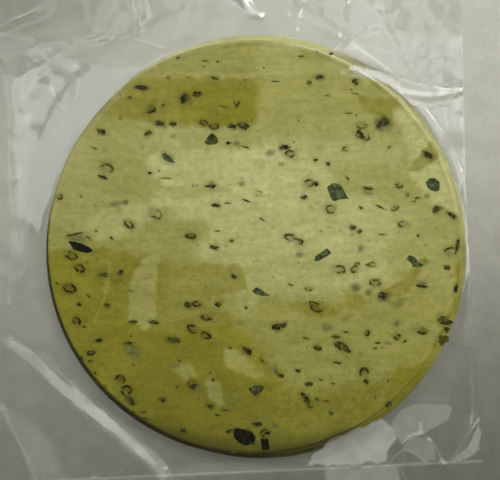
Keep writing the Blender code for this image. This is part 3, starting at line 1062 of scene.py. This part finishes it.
# Small creases, drawn at random within each field: how many, where, which way, how long, high and wide
creaseFields = {
    "header": (44, (-84, 84), (64, 92), (60, 120), (8, 30), (0.05, 0.2), (0.6, 2.4)),
    "above the stack": (16, (-70, -10), (58, 70), (-10, 30), (10, 34), (0.05, 0.16), (0.6, 1.6)),
    "left margin": (14, (-86, -72), (-30, 60), (60, 120), (10, 34), (0.03, 0.1), (0.8, 2.4)),
    "lower left": (12, (-86, -50), (-92, -50), (90, 170), (8, 30), (0.04, 0.14), (0.8, 2.4)),
    "lower right": (12, (52, 87), (-92, -66), (20, 150), (6, 18), (0.1, 0.4), (0.6, 1.8)),
    "bottom strip": (34, (-60, 62), (-93, -87), (65, 115), (3, 8), (0.1, 0.3), (0.5, 1.4)),
    "right margin": (14, (76, 88), (-60, 60), (70, 110), (8, 30), (0.08, 0.28), (0.6, 1.8)),
    "over the stack": (22, (-56, 76), (-74, 56), (0, 180), (20, 60), (0.03, 0.08), (1.5, 5)),
}


def softMax(first, second, blend):
    return np.logaddexp(first / blend, second / blend) * blend


def aboveZero(value, blend):
    return softMax(value, np.zeros_like(value), blend)


def drape(x, y):
    # The film pulled over the stack and down to the table
    height = np.full_like(x, film["flat"])
    leanX, leanY = film["drapeLean"]
    for level, (centreX, centreY) in enumerate(discs["centres"], start=1):
        top = discs["lowest"] + level * discs["pitch"] + film["overDiscs"]
        away = np.hypot(x - centreX, y - centreY)
        past = aboveZero(away - discs["radius"], film["rimBend"])
        beyond = leanY * (y - centreY) - leanX * np.maximum(x - centreX, 0)
        upward = ease(np.clip(beyond / np.maximum(away, 1) + film["upperStart"], 0, 1))
        left = np.clip(1 - past / (film["drapeReach"] + film["upperReach"] * upward), 0, 1)
        height = softMax(height, top * left ** film["drapeSag"], film["drapeBlend"])
    return height


def alongPath(x, y, corners):
    # For each point: its distance from the path, its side (positive on the left) and its share of the way
    nearest, side, way = np.full_like(x, farAway), np.zeros_like(x), np.zeros_like(x)
    lengths = [(end - start).length for start, end in zip(corners, corners[1:])]
    gone = 0
    for start, end, length in zip(corners, corners[1:], lengths):
        run = end - start
        share = np.clip(((x - start.x) * run.x + (y - start.y) * run.y) / length**2, 0, 1)
        away = np.hypot(x - start.x - run.x * share, y - start.y - run.y * share)
        closer = away < nearest
        nearest = np.where(closer, away, nearest)
        side = np.where(closer, np.sign((y - start.y) * run.x - (x - start.x) * run.y), side)
        way = np.where(closer, (gone + share * length) / sum(lengths), way)
        gone += length
    return nearest, side, way


def alongPixels(x, y, path, level):
    return alongPath(x, y, [spotInPhoto(u, v, level) for u, v in path])


def fadeOut(way, share):
    # 1 along a crest, down to 0 over this share of the way at both ends
    return np.sin(np.minimum(np.minimum(way, 1 - way) / share, 1) * math.pi / 2)


def blunted(away, radius):
    # Distance from a crest that is rounded at the top
    return np.hypot(away, radius) - radius


def tent(x, y, path, height, leftWidth, rightWidth):
    # Two flat flanks that fade out towards both ends of the crest
    away, side, way = alongPixels(x, y, path, photo["foldLevel"])
    width = np.where(side > 0, leftWidth, rightWidth)
    flanks = aboveZero(1 - blunted(away, film["crestRound"]) / width, film["foldBlend"])
    return height * fadeOut(way, film["foldFade"]) * flanks


def roofFold(x, y):
    away, side, way = alongPixels(x, y, roof["crest"], photo["roofLevel"])
    high, low = roof["heights"]
    away = blunted(away, film["crestRound"])
    fall = away * np.where(side > 0, *roof["slopes"])
    fall += roof["steeper"] * np.maximum(away - roof["flank"], 0)
    return low + (high - low) * (1 - way) ** roof["crestSag"] - fall


def smallCreases(x, y):
    draw = random.Random(31)
    total = np.zeros_like(x)
    for count, acrossBag, alongBag, leans, lengths, heights, widths in creaseFields.values():
        for _ in range(count):
            middle = Vector((draw.uniform(*acrossBag), draw.uniform(*alongBag)))
            lean = math.radians(draw.uniform(*leans))
            half = draw.uniform(*lengths) / 2
            height = draw.uniform(*heights) * draw.choice(film["creaseWays"])
            step = Vector((math.cos(lean), math.sin(lean))) * half
            away, _, way = alongPath(x, y, [middle - step, middle + step])
            flanks = np.exp(-blunted(away, film["creaseRound"]) / draw.uniform(*widths))
            total += height * fadeOut(way, film["creaseFade"]) * flanks
    return total


def slackness(x, y):
    past = fromTop(x, y)[2] - discs["radius"]
    header = rise((y - film["headerFrom"]) / film["headerOver"])
    margin = film["marginSlack"] + (1 - film["marginSlack"]) * header
    return rise((past - film["slackFrom"]) / film["slackOver"]) * margin


def topSheet(x, y):
    insideY = np.clip(y, -sealY, sealY)
    height = softMax(drape(x, insideY), roofFold(x, insideY), film["roofBlend"])
    for fold in folds.values():
        height += tent(x, insideY, *fold)
    height += smallCreases(x, insideY)
    slack = slackness(x, insideY)
    least, more = film["ripple"]
    height += (least + more * slack) * waves(x, insideY, "film")
    height += film["fineRipple"] * slack * waves(x, insideY, "film, fine")
    height = softMax(height, np.full_like(x, film["under"] + film["leastGap"]), film["gapBlend"])
    cover = discTop(x, insideY) + film["cling"]
    onStack = fromTop(x, insideY)[2] < discs["radius"] + film["clingReach"]
    height = np.where(onStack, softMax(height, cover, film["clingBlend"]), height)
    pastSeal = np.abs(y - insideY) / film["lip"]
    lip = film["flat"] + film["lipWave"] * waves(x, y, "lip") * pastSeal
    lip = np.maximum(lip, film["under"] + film["lipGap"])
    return height + (lip - height) * pastSeal ** film["lipFall"]


def lowerSheet(x, y, above):
    # The lower sheet lies on the table and rises to meet the upper one at each seal
    share = ease(np.clip((np.abs(y) - sealY) / film["sealRise"] + 1, 0, 1))
    return film["under"] + (above - film["sealGap"] - film["under"]) * share


def bagPull(y):
    return film["waistPull"] * bell(y - film["waistY"], film["waistReach"])


# The lower right corner is folded over in lobes, which both lists below paint
lobes = {
    "outer": [(308, 467), (314, 452), (330, 438), (352, 428), (380, 418), (392, 428), (398, 437),
        (390, 447), (388, 464)],
    "upper": [(390, 420), (400, 411), (412, 406), (430, 403), (447, 404), (453, 411), (447, 420),
        (428, 432), (410, 440), (403, 444), (396, 437)],
    "small": [(404, 447), (411, 441), (420, 437), (428, 440), (433, 449), (436, 462), (422, 462),
        (410, 452)],
    "edge": [(452, 464), (462, 452), (472, 440), (480, 424), (484, 435), (478, 449), (470, 458),
        (462, 464)],
}

# How strongly the film beside the stack mirrors, zone by zone: 1 is plain film, 0 is film that clings.
# The zones paint the reflection: above 1 they give painted highlights on folds and in the header, and
# below 1 painted shade, as beside the rim on the left. Laid out like the pale zones of the dough.
filmZones = [
    (0.7, 14, [(-20, -80), (150, -80), (160, 40), (0, 40), (-20, 60)]),
    (0.1, 5, [(-20, -40), (52, -40), (44, 0), (28, 12), (20, 15), (0, 26), (-20, 34)]),
    (0.25, 3, [(24, 32), (45, 27), (60, 17), (76, 16), (84, 24), (93, 30), (88, 33), (55, 37),
        (38, 38)]),
    (0.45, 3, [(109, 30), (115, 20), (121, 21), (123, 32), (114, 35)]),
    (0.55, 5, [(20, 38), (60, 43), (110, 39), (145, 44), (165, 50), (150, 66), (110, 69), (62, 58),
        (44, 46)]),
    (2.8, 5, [(48, 47), (64, 60), (90, 66), (140, 70), (110, 110), (70, 150), (50, 215), (44, 234),
        (18, 230), (16, 180), (12, 100), (17, 64), (30, 50)]),
    (0.1, 8, [(-20, 50), (0, 56), (6, 90), (10, 150), (10, 250), (-20, 250)]),
    (1.3, 3, [(49, 50), (55, 58), (64, 67), (73, 72), (77, 80), (76, 96), (72, 100), (68, 90), (60, 77),
        (50, 66)]),
    (1.8, 4, [(28, 92), (35, 84), (45, 84), (52, 92), (60, 104), (66, 112), (54, 108), (36, 100)]),
    (3.4, 2, [(54, 132), (66, 130), (75, 136), (70, 146), (56, 149)]),
    (0.35, 2, [(134, -20), (139, 2), (143, 14), (140, 24), (137, 20), (133, 6), (131, -20)]),
    (0.2, 2, [(133, 28), (139, 25), (141, 30), (137, 36), (132, 34)]),
    (2.4, 3, [(145, -20), (150, -20), (152, 18), (146, 22)]),
    (5, 5, [(224, -12), (240, -12), (254, 6), (264, 16), (250, 17), (238, 10), (226, 6)]),
    (0.7, 8, [(154, -40), (232, -40), (230, 4), (190, 8), (154, 6)]),
    (1.6, 8, [(150, 24), (186, 14), (240, 24), (236, 36), (190, 36), (160, 44)]),
    (1.6, 10, [(262, -40), (300, -40), (300, 30), (270, 34), (258, 20)]),
    (1.5, 14, [(318, -40), (462, -40), (466, 30), (400, 44), (330, 40)]),
    (3.3, 16, [(398, 36), (466, 36), (466, 86), (420, 84), (400, 70)]),
    (2.7, 7, [(352, -10), (384, -10), (384, 24), (368, 28), (352, 40)]),
    (0.15, 4, [(292, 6), (304, 4), (346, 32), (356, 46), (372, 60), (384, 72), (376, 72), (350, 56),
        (330, 42), (300, 22)]),
    (3.8, 3, [(345, 51), (356, 42), (372, 29), (384, 28), (392, 42), (400, 60), (406, 78), (392, 72),
        (374, 64)]),
    (2.6, 2, [(398, 89), (412, 94), (430, 108), (446, 132), (458, 158), (466, 190), (468, 222),
        (462, 214), (454, 180), (442, 150), (424, 118), (408, 102)]),
    (3, 3, [(350, 70), (362, 71), (378, 74), (392, 78), (411, 83), (440, 85), (459, 90), (455, 94),
        (430, 98), (412, 97), (392, 92), (376, 84)]),
    (3.4, 2, [(366, 73), (374, 72), (383, 76), (378, 81), (370, 79)]),
    (2.8, 2, [(386, 80), (396, 80), (411, 84), (406, 90), (398, 91), (388, 87)]),
    (3.6, 2, [(430, 89), (438, 87), (450, 89), (457, 91), (450, 94), (440, 94)]),
    (3.6, 6, [(400, 100), (430, 101), (462, 98), (466, 132), (452, 128), (440, 134), (420, 116)]),
    (0.2, 2, [(441, 141), (447, 134), (455, 132), (464, 138), (465, 142), (456, 146), (447, 154)]),
    (3.4, 5, [(446, 160), (466, 148), (469, 240), (470, 330), (462, 330), (464, 210)]),
    (1, 12, [(-20, 252), (60, 252), (60, 300), (90, 380), (170, 470), (60, 400), (-20, 320)]),
    (0.2, 7, [(28, 246), (47, 246), (52, 296), (66, 336), (80, 366), (70, 376), (52, 346), (36, 300)]),
    (1.3, 6, [(-4, 328), (12, 342), (25, 350), (45, 354), (60, 370), (60, 400), (40, 384), (14, 358),
        (-4, 345)]),
    (2.4, 5, [(46, 366), (52, 362), (64, 377), (95, 408), (133, 436), (162, 462), (174, 478),
        (163, 478), (120, 447), (75, 411), (50, 388)]),
    (3.4, 5, [(88, 402), (113, 421), (150, 450), (162, 462), (174, 478), (166, 478), (130, 452),
        (86, 415)]),
    (0.3, 9, [(470, 300), (500, 300), (500, 500), (300, 500), (380, 425), (440, 380), (462, 330)]),
    (0.1, 3, [(460, 368), (470, 362), (471, 412), (461, 410)]),
    (1.6, 3, lobes["outer"]),
    (2.6, 3, [(380, 429), (392, 428), (398, 437), (394, 442), (384, 441)]),
    (0.15, 2, [(400, 440), (394, 444), (387, 452), (386, 462), (395, 462), (402, 452), (405, 446)]),
    (2.2, 2, lobes["upper"]),
    (1.6, 2, lobes["small"]),
    (0.12, 2, [(404, 452), (412, 452), (420, 457), (426, 463), (404, 463)]),
    (2, 2, lobes["edge"]),
    (1.1, 4, [(170, 469), (200, 462), (250, 464), (306, 468), (396, 468), (404, 490), (170, 490)]),
    (0.15, 3, [(403, 467), (452, 466), (440, 476), (424, 490), (409, 490)]),
]

# How milky the film is, laid out in the same way: mostly painted highlights and reflections, as milky
# white on the folds and the ridge, and on the lobes of the lower right corner also the haze of film
# doubled over
hazeAndHighlightZones = [
    (0.1, 16, [(-10, 250), (50, 250), (60, 300), (60, 350), (-10, 330)]),
    (0.07, 6, [(-4, 328), (12, 342), (25, 350), (45, 354), (52, 360), (64, 377), (95, 408), (133, 436),
        (162, 462), (174, 478), (163, 478), (120, 443), (75, 405), (40, 377), (14, 353), (-4, 341)]),
    (0.22, 7, [(34, 354), (48, 357), (56, 372), (50, 382), (38, 372)]),
    (0.42, 9, [(70, 386), (116, 420), (150, 452), (162, 464), (174, 478), (164, 478), (136, 457),
        (105, 430), (74, 402)]),
    (0.26, 20, [(-4, 404), (30, 424), (54, 444), (64, 480), (36, 480), (18, 440)]),
    (0.54, 3, lobes["outer"]),
    (0.46, 3, [(378, 430), (392, 428), (398, 437), (394, 442), (384, 442)]),
    (0.26, 2, lobes["upper"]),
    (0.22, 2, lobes["small"]),
    (0.66, 7, [(330, 50), (345, 38), (370, 28), (386, 30), (396, 44), (406, 62), (420, 84), (400, 80),
        (374, 70), (350, 58)]),
    (0.34, 6, [(398, 88), (412, 93), (430, 108), (446, 132), (458, 158), (466, 190), (468, 222),
        (460, 214), (454, 180), (442, 150), (424, 118), (408, 100)]),
    (0.09, 6, [(456, 256), (476, 256), (477, 345), (464, 345)]),
    (0.62, 3, [(350, 67), (364, 71), (380, 75), (398, 81), (414, 87), (410, 92), (396, 90), (380, 85),
        (364, 79), (350, 74)]),
    (0.58, 4, [(398, 80), (420, 82), (445, 86), (460, 90), (458, 97), (430, 99), (404, 94)]),
    (0.75, 3, [(404, 93), (425, 97), (445, 98), (457, 95), (450, 104), (430, 107), (412, 106)]),
    (0, 2, [(404, 453), (412, 453), (420, 458), (425, 463), (404, 463)]),
    (0.34, 2, lobes["edge"]),
    (0.14, 14, [(398, 50), (466, 50), (466, 84), (420, 82)]),
    (0.3, 4, [(322, 469), (396, 467), (404, 490), (330, 490)]),
    (0.14, 4, [(180, 466), (240, 462), (300, 468), (240, 474), (170, 476)]),
]

# Painted highlights: thin bright lines where the film is creased or welded, made by letting it mirror more
# there: strength, width in pixels and the way they run
filmLines = [
    (2.2, 1.3, [(-6, 29), (0, 27), (20, 16), (28, 13), (40, 4), (46, -4)]),
    (2, 1.2, [(44, 43), (35, 47), (26, 52), (20, 58), (17, 64), (16, 75), (13, 90), (12, 100)]),
    (2.4, 1.2, [(49, 60), (48, 52), (50, 49), (53, 49), (56, 53), (60, 57), (66, 60), (76, 63),
        (79, 80), (77, 98)]),
    (1.6, 1.2, [(0, 34), (20, 37), (44, 43), (65, 42), (88, 40), (110, 38), (130, 39), (145, 43),
        (165, 48)]),
    (1.2, 1.2, [(66, 60), (90, 66), (110, 68), (140, 70), (150, 66), (168, 55)]),
    (2.2, 1.3, [(48, 84), (53, 92), (58, 100), (66, 109)]),
    (1.3, 1.6, [(-2, 56), (3, 66), (5, 80), (6, 95), (9, 115), (9, 150), (10, 200), (18, 250)]),
    (3, 1.3, [(130, -12), (134, 10), (137, 18), (139, 24), (142, 24), (144, 16), (140, 5), (135, -12)]),
    (1.6, 1.2, [(139, 24), (142, 30), (136, 37), (131, 34), (133, 28)]),
    (7, 2.6, [(241, -6), (246, 6), (252, 12), (262, 15)]),
    (1.6, 1.5, [(300, -10), (301, 12), (296, 30)]),
    (2.2, 1.2, [(344, -10), (346, 6), (341, 15), (345, 20), (340, 30), (340, 40), (337, 48),
        (330, 57)]),
    (2.2, 1.2, [(345, 50), (355, 40), (366, 32), (371, 27), (378, 25), (384, 27), (388, 33), (393, 41),
        (400, 56)]),
    (1.4, 1.2, [(350, 49), (362, 47), (374, 47), (385, 50), (395, 54)]),
    (3.4, 1.6, [(366, 36), (372, 33), (379, 33)]),
    (3.2, 3.6, [(356, 72), (368, 75), (380, 79), (396, 85)]),
    (4, 1.6, [(366, 73), (377, 76), (390, 82), (398, 86)]),
    (1.6, 1.2, [(377, 9), (384, 12), (391, 11), (397, 6)]),
    (1.6, 1.1, [(341, 74), (350, 71), (362, 73)]),
    (1.4, 1.1, [(341, 74), (352, 77), (365, 79)]),
    (1.4, 1.6, [(463, 0), (463, 90), (464, 130), (467, 200), (468, 330)]),
    (2.4, 1.6, [(8, 292), (10, 299), (8, 306)]),
    (2.6, 1.5, [(-4, 404), (5, 415), (13, 432), (25, 455), (36, 482)]),
    (1.6, 1.3, [(12, 342), (25, 350), (45, 354), (53, 361), (64, 377), (95, 408), (133, 436),
        (162, 462), (174, 478)]),
    (3, 1.3, [(429, 439), (435, 446), (440, 456), (444, 463)]),
    (2.2, 1.2, [(390, 463), (397, 456), (404, 450)]),
    (1.8, 1.1, [(404, 463), (404, 452), (411, 452), (420, 458), (426, 463)]),
    (1.6, 1.5, [(446, 464), (455, 455), (465, 440), (480, 418)]),
    (4, 1.6, [(421, 424), (421, 431)]),
    (4, 1.8, [(441, 461), (445, 463)]),
    (1.8, 1.2, [(400, 465), (404, 475), (409, 484)]),
    (1.2, 1.4, [(471, 366), (474, 400), (471, 424)]),
]

filmLook = {
    # Where the film beside the stack begins, how far in over the upper rim it does so, and how softly
    "besideFrom": 0.5,
    "besideIn": 1.3,
    "besideSoftness": (0.4, 0.5),
    "besideSteep": 2,
    "besideStart": 0.4,
    "standOffPale": 0.10,  # how much film over pale dough mirrors
    "hazeStreaks": 0.08,
    "hazeClouds": 0.015,
    "lineHaze": 0.07,
    "weldHaze": 0.14,
    "mirrorLeast": 0.002,
    "mirrorByGap": 0.055,
    "mirrorAtEdge": 0.9,  # seen from the side
    "mirrorPower": 5,
    "milkLeast": 0.003,
    "milkByGap": 0.018,
    "clear": (0.985, 0.988, 0.98),
    "gloss": (0.80, 0.80, 0.77),
    "roughness": 0.085,
    "milk": (0.93, 0.935, 0.80),
    "wrinkleSize": 5,
    "wrinkleHeight": 0.2,
    "wrinkleStrength": 0.25,
}


def besideStack(x, y):
    # It starts a little way in over the upper rim, where the film stands off
    _, along, away = fromTop(x, y)
    look = filmLook
    upper = np.clip(along / np.maximum(away, 1) * look["besideSteep"] - look["besideStart"], 0, 1)
    hard, softer = look["besideSoftness"]
    start = discs["radius"] + look["besideFrom"] - look["besideIn"] * upper
    return rise((away - start) / (hard + softer * upper))


def weldLine(y):
    return film["weld"] * bell(np.abs(y) - sealY, film["weldWidth"])


def brightLines(x, y):
    total = np.zeros_like(x)
    for strength, width, path in filmLines:
        away = alongPixels(x, y, path, photo["foldLevel"])[0]
        total += strength * bell(away, width * pixelSize())
    return total


def paintFilm(x, y):
    # How strongly each point of the film mirrors, and how milky it is, with the painted highlights in both
    beside, lines, weld = besideStack(x, y), brightLines(x, y), weldLine(y)
    gapAndHighlight = paintZones(x, y, filmZones, 1, photo["sheetLevel"]) * beside
    # Film over the dough also mirrors more where the dough has painted sheen
    gapAndHighlight += filmLook["standOffPale"] * np.maximum(paintZones(x, y, paleZones, 0), 0) * (1 - beside)
    hazeAndHighlight = paintZones(x, y, hazeAndHighlightZones, 0, photo["sheetLevel"])
    hazeAndHighlight *= 1 + filmLook["hazeStreaks"] * waves(x, y, "haze streaks")
    hazeAndHighlight += filmLook["hazeClouds"] * np.maximum(waves(x, y, "haze clouds"), 0)
    return gapAndHighlight + lines + weld, hazeAndHighlight * beside + filmLook["lineHaze"] * lines + filmLook["weldHaze"] * weld


def makeFilm(material):
    mesh = bmesh.new()
    bmesh.ops.create_grid(mesh, x_segments=film["columns"], y_segments=film["rows"], size=1)
    for name in film["underLook"]:
        mesh.verts.layers.float.new(name)
    layers = {name: mesh.verts.layers.float[name] for name in film["underLook"]}
    across, along = np.array([vert.co.xy for vert in mesh.verts]).T
    crowding = film["crowding"]
    y = ((1 + crowding) * along - crowding * along**3) * halfLength
    x = ((1 + crowding) * across - crowding * across**3) * (halfWidth - bagPull(y))
    gaps, hazes = paintFilm(x, y)
    places = zip(x, y, topSheet(x, y))
    for vert, place, *looks in zip(mesh.verts, places, slackness(x, y), gaps, hazes):
        vert.co = place
        for layer, look in zip(layers.values(), looks):
            vert[layer] = look

    # Round the side and under: each step moves the open edge to a share of the way in and down
    edges = [edge for edge in mesh.edges if edge.is_boundary]
    for inward, down in film["underSteps"]:
        ring, edges = growRim(mesh, edges)
        if inward <= 0:
            border = np.array([vert.co.xy for vert in ring])
        x, y = (border * (1 - inward)).T
        above = topSheet(x, y)
        z = above + (lowerSheet(x, y, above) - above) * down
        for vert, place in zip(ring, zip(x, y, z)):
            vert.co = place
            for name, look in film["underLook"].items():
                vert[layers[name]] = look
    closeRim(mesh, edges)
    return addPiece("bag_film", mesh, [material])


def filmMaterial():
    look = filmLook
    bench = Bench("clear film")
    slack, gapAndHighlight, hazeAndHighlight = (bench.attribute(name) for name in ("slack", "gapAndHighlight", "hazeAndHighlight"))
    wrinkle = bench.noise(look["wrinkleSize"], detail=3, roughness=0.6) * slack
    normal = bench.bump(wrinkle, look["wrinkleHeight"], look["wrinkleStrength"])
    facing = bench.node("LayerWeight", {}, {"Blend": 0.5}, output="Facing")
    edgeOn = facing ** look["mirrorPower"] * look["mirrorAtEdge"]
    mirror = look["mirrorLeast"] + gapAndHighlight * look["mirrorByGap"] + edgeOn
    clear = bench.node("BsdfTransparent", {}, {"Color": (*look["clear"], 1)})
    shine = {"Color": (*look["gloss"], 1), "Roughness": look["roughness"], "Normal": normal}
    gloss = bench.node("BsdfGlossy", {}, shine)
    milky = bench.node("BsdfDiffuse", {}, {"Color": (*look["milk"], 1)})
    glassy = bench.node("MixShader", {}, {0: mirror, 1: clear, 2: gloss})
    milk = look["milkLeast"] + gapAndHighlight * look["milkByGap"] + hazeAndHighlight
    return bench.finish(bench.node("MixShader", {}, {0: milk, 1: glassy, 2: milky}))


bag = makeFilm(filmMaterial())
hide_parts("papadum_pack")
print("film drawn over the stack")


# Table and light

tabletop = {
    "halfSize": 1500,
    "dark": (0.084, 0.087, 0.062),
    "light": (0.142, 0.146, 0.105),
    # Painted shade: a little darker and less glossy beyond the bag's top left corner
    "cornerShade": (0.075, 0.078, 0.056),
    "cornerShadeSpot": (-100, 110),
    "cornerShadeReach": 90,
    # Smooth enough to mirror the panels faintly
    "gloss": (0.98, 0.98, 0.84),
    "roughness": 0.28,
    "mirror": 0.16,
    "mirrorUnshaded": 0.075,
    "mirrorMottle": 0.08,
}


def makeTable():
    look = tabletop
    bench = Bench("table")
    mottle = bench.noise(9, detail=5, roughness=0.6)
    fine = bench.noise(1.2, detail=3)
    grain = bench.noise(0.5, detail=4, roughness=0.7)
    tone = (mottle * 0.35 + fine * 0.25 + grain * 0.4).span(0.38, 0.62)
    spot = Vector((*look["cornerShadeSpot"], 0)) * mm
    distance = bench.node("VectorMath", {"operation": "DISTANCE"}, {0: bench.place, 1: spot}, output=1)
    # Painted shade, darker towards the bag's top left corner; 1 away from it
    unshaded = distance.span(0, look["cornerShadeReach"] * mm)
    colour = bench.mix(unshaded, look["cornerShade"], bench.mix(tone, look["dark"], look["light"]))
    normal = bench.bump(fine, 0.05, 0.3)
    matt = bench.node("BsdfDiffuse", {}, {"Color": colour, "Normal": normal})
    shine = {"Color": (*look["gloss"], 1), "Roughness": look["roughness"], "Normal": normal}
    gloss = bench.node("BsdfGlossy", {}, shine)
    mirror = look["mirror"] + unshaded * look["mirrorUnshaded"] + mottle * look["mirrorMottle"]
    mesh = bmesh.new()
    bmesh.ops.create_grid(mesh, x_segments=4, y_segments=4, size=look["halfSize"] * mm)
    data = bpy.data.meshes.new("table")
    mesh.to_mesh(data)
    mesh.free()
    data.materials.append(bench.finish(bench.node("MixShader", {}, {0: mirror, 1: matt, 2: gloss})))
    table = addObject("table", data)


lighting = {
    "room": (0.125, 0.125, 0.122),
    "panelHeight": 2500,
    "panelGap": 4,  # each panel hangs a little under the one before
    "keyPlace": (195, 265, 640),
    "keyRadius": 110,
    "keyWatts": 10.7,
}

# Panels that only glossy things mirror, each given by the part of the picture where flat film would show
# it: left, right, top and bottom in pixels, its tilt in degrees and its radiance
panels = {
    "overhead": (110, 430, -300, 252, 3.7, 1.7),
    "overhead, right": (430, 560, 60, 262, 3.7, 1.92),
    "overhead, upper right": (430, 560, -300, 60, 3.7, 0.6),
    "overhead, left": (17, 110, 50, 250, 3.7, 1.7),
    "overhead, lower": (236, 540, 252, 500, 2, 0.1),
    "ceiling, left": (-300, 17, 20, 250, 3.7, 1.5),
    "ceiling, upper left": (-300, 110, -300, 16, 3.7, 0.25),
    "ceiling, low left": (-900, 100, 250, 350, 3.7, 0.55),
    "ceiling, lower left": (-900, 200, 350, 800, 3.7, 0.25),
    "ceiling, right": (560, 1800, -300, 242, 3.7, 1.5),
    "wall, left": (-4000, -300, -3000, 250, 0, 1.3),
    "wall, right": (1800, 5000, -3000, 282, 0, 2),
    "wall, top": (-300, 1800, -4000, -300, 0, 1.25),
    "wall, far": (-4000, 30000, -30000, -4000, 0, 1.7),
    "wall, far right": (5000, 30000, -4000, 1500, 0, 1.8),
    "window": (450, 1350, -700, -230, 0, 4.5),
}


def makePanel(name, panel, level):
    # An area light seen by reflection in the film at the given part of the picture
    left, right, top, bottom, tilt, radiance = panel
    stackLevel = photo["stackLevel"]
    stretch = 1 + (level - stackLevel) / (photo["cameraHeight"] - stackLevel)
    corners = [spotInPhoto(u, v, stackLevel) for u in (left, right) for v in (top, bottom)]
    aim = Vector(photo["aim"])
    middle = aim + (sum(corners, Vector((0, 0))) / 4 - aim) * stretch
    light = bpy.data.lights.new(name, "AREA")
    light.shape = "RECTANGLE"
    light.size = (corners[2] - corners[0]).length * stretch * mm
    light.size_y = (corners[1] - corners[0]).length * stretch * mm
    light.energy = radiance * math.pi * light.size * light.size_y
    lamp = addObject(name, light)
    lamp.location = Vector((*middle, level)) * mm
    lamp.rotation_euler = (0, 0, -bagTurn - math.radians(tilt))
    lamp.visible_camera = False
    lamp.visible_diffuse = False


def makeKey():
    light = bpy.data.lights.new("window side", "POINT")
    light.shadow_soft_size = lighting["keyRadius"] * mm
    light.energy = lighting["keyWatts"]
    lamp = addObject("window side", light)
    lamp.location = Vector(lighting["keyPlace"]) * mm
    lamp.visible_camera = False
    lamp.visible_glossy = False


def makeRoom():
    world = bpy.data.worlds.new("room")
    world.use_nodes = True
    world.node_tree.nodes["Background"].inputs["Color"].default_value = (*lighting["room"], 1)
    bpy.context.scene.world = world
    bpy.context.scene.view_settings.view_transform = "Standard"


makeTable()
for index, (name, panel) in enumerate(panels.items()):
    makePanel(name, panel, lighting["panelHeight"] - lighting["panelGap"] * index)
makeKey()
makeRoom()
print("lights on")
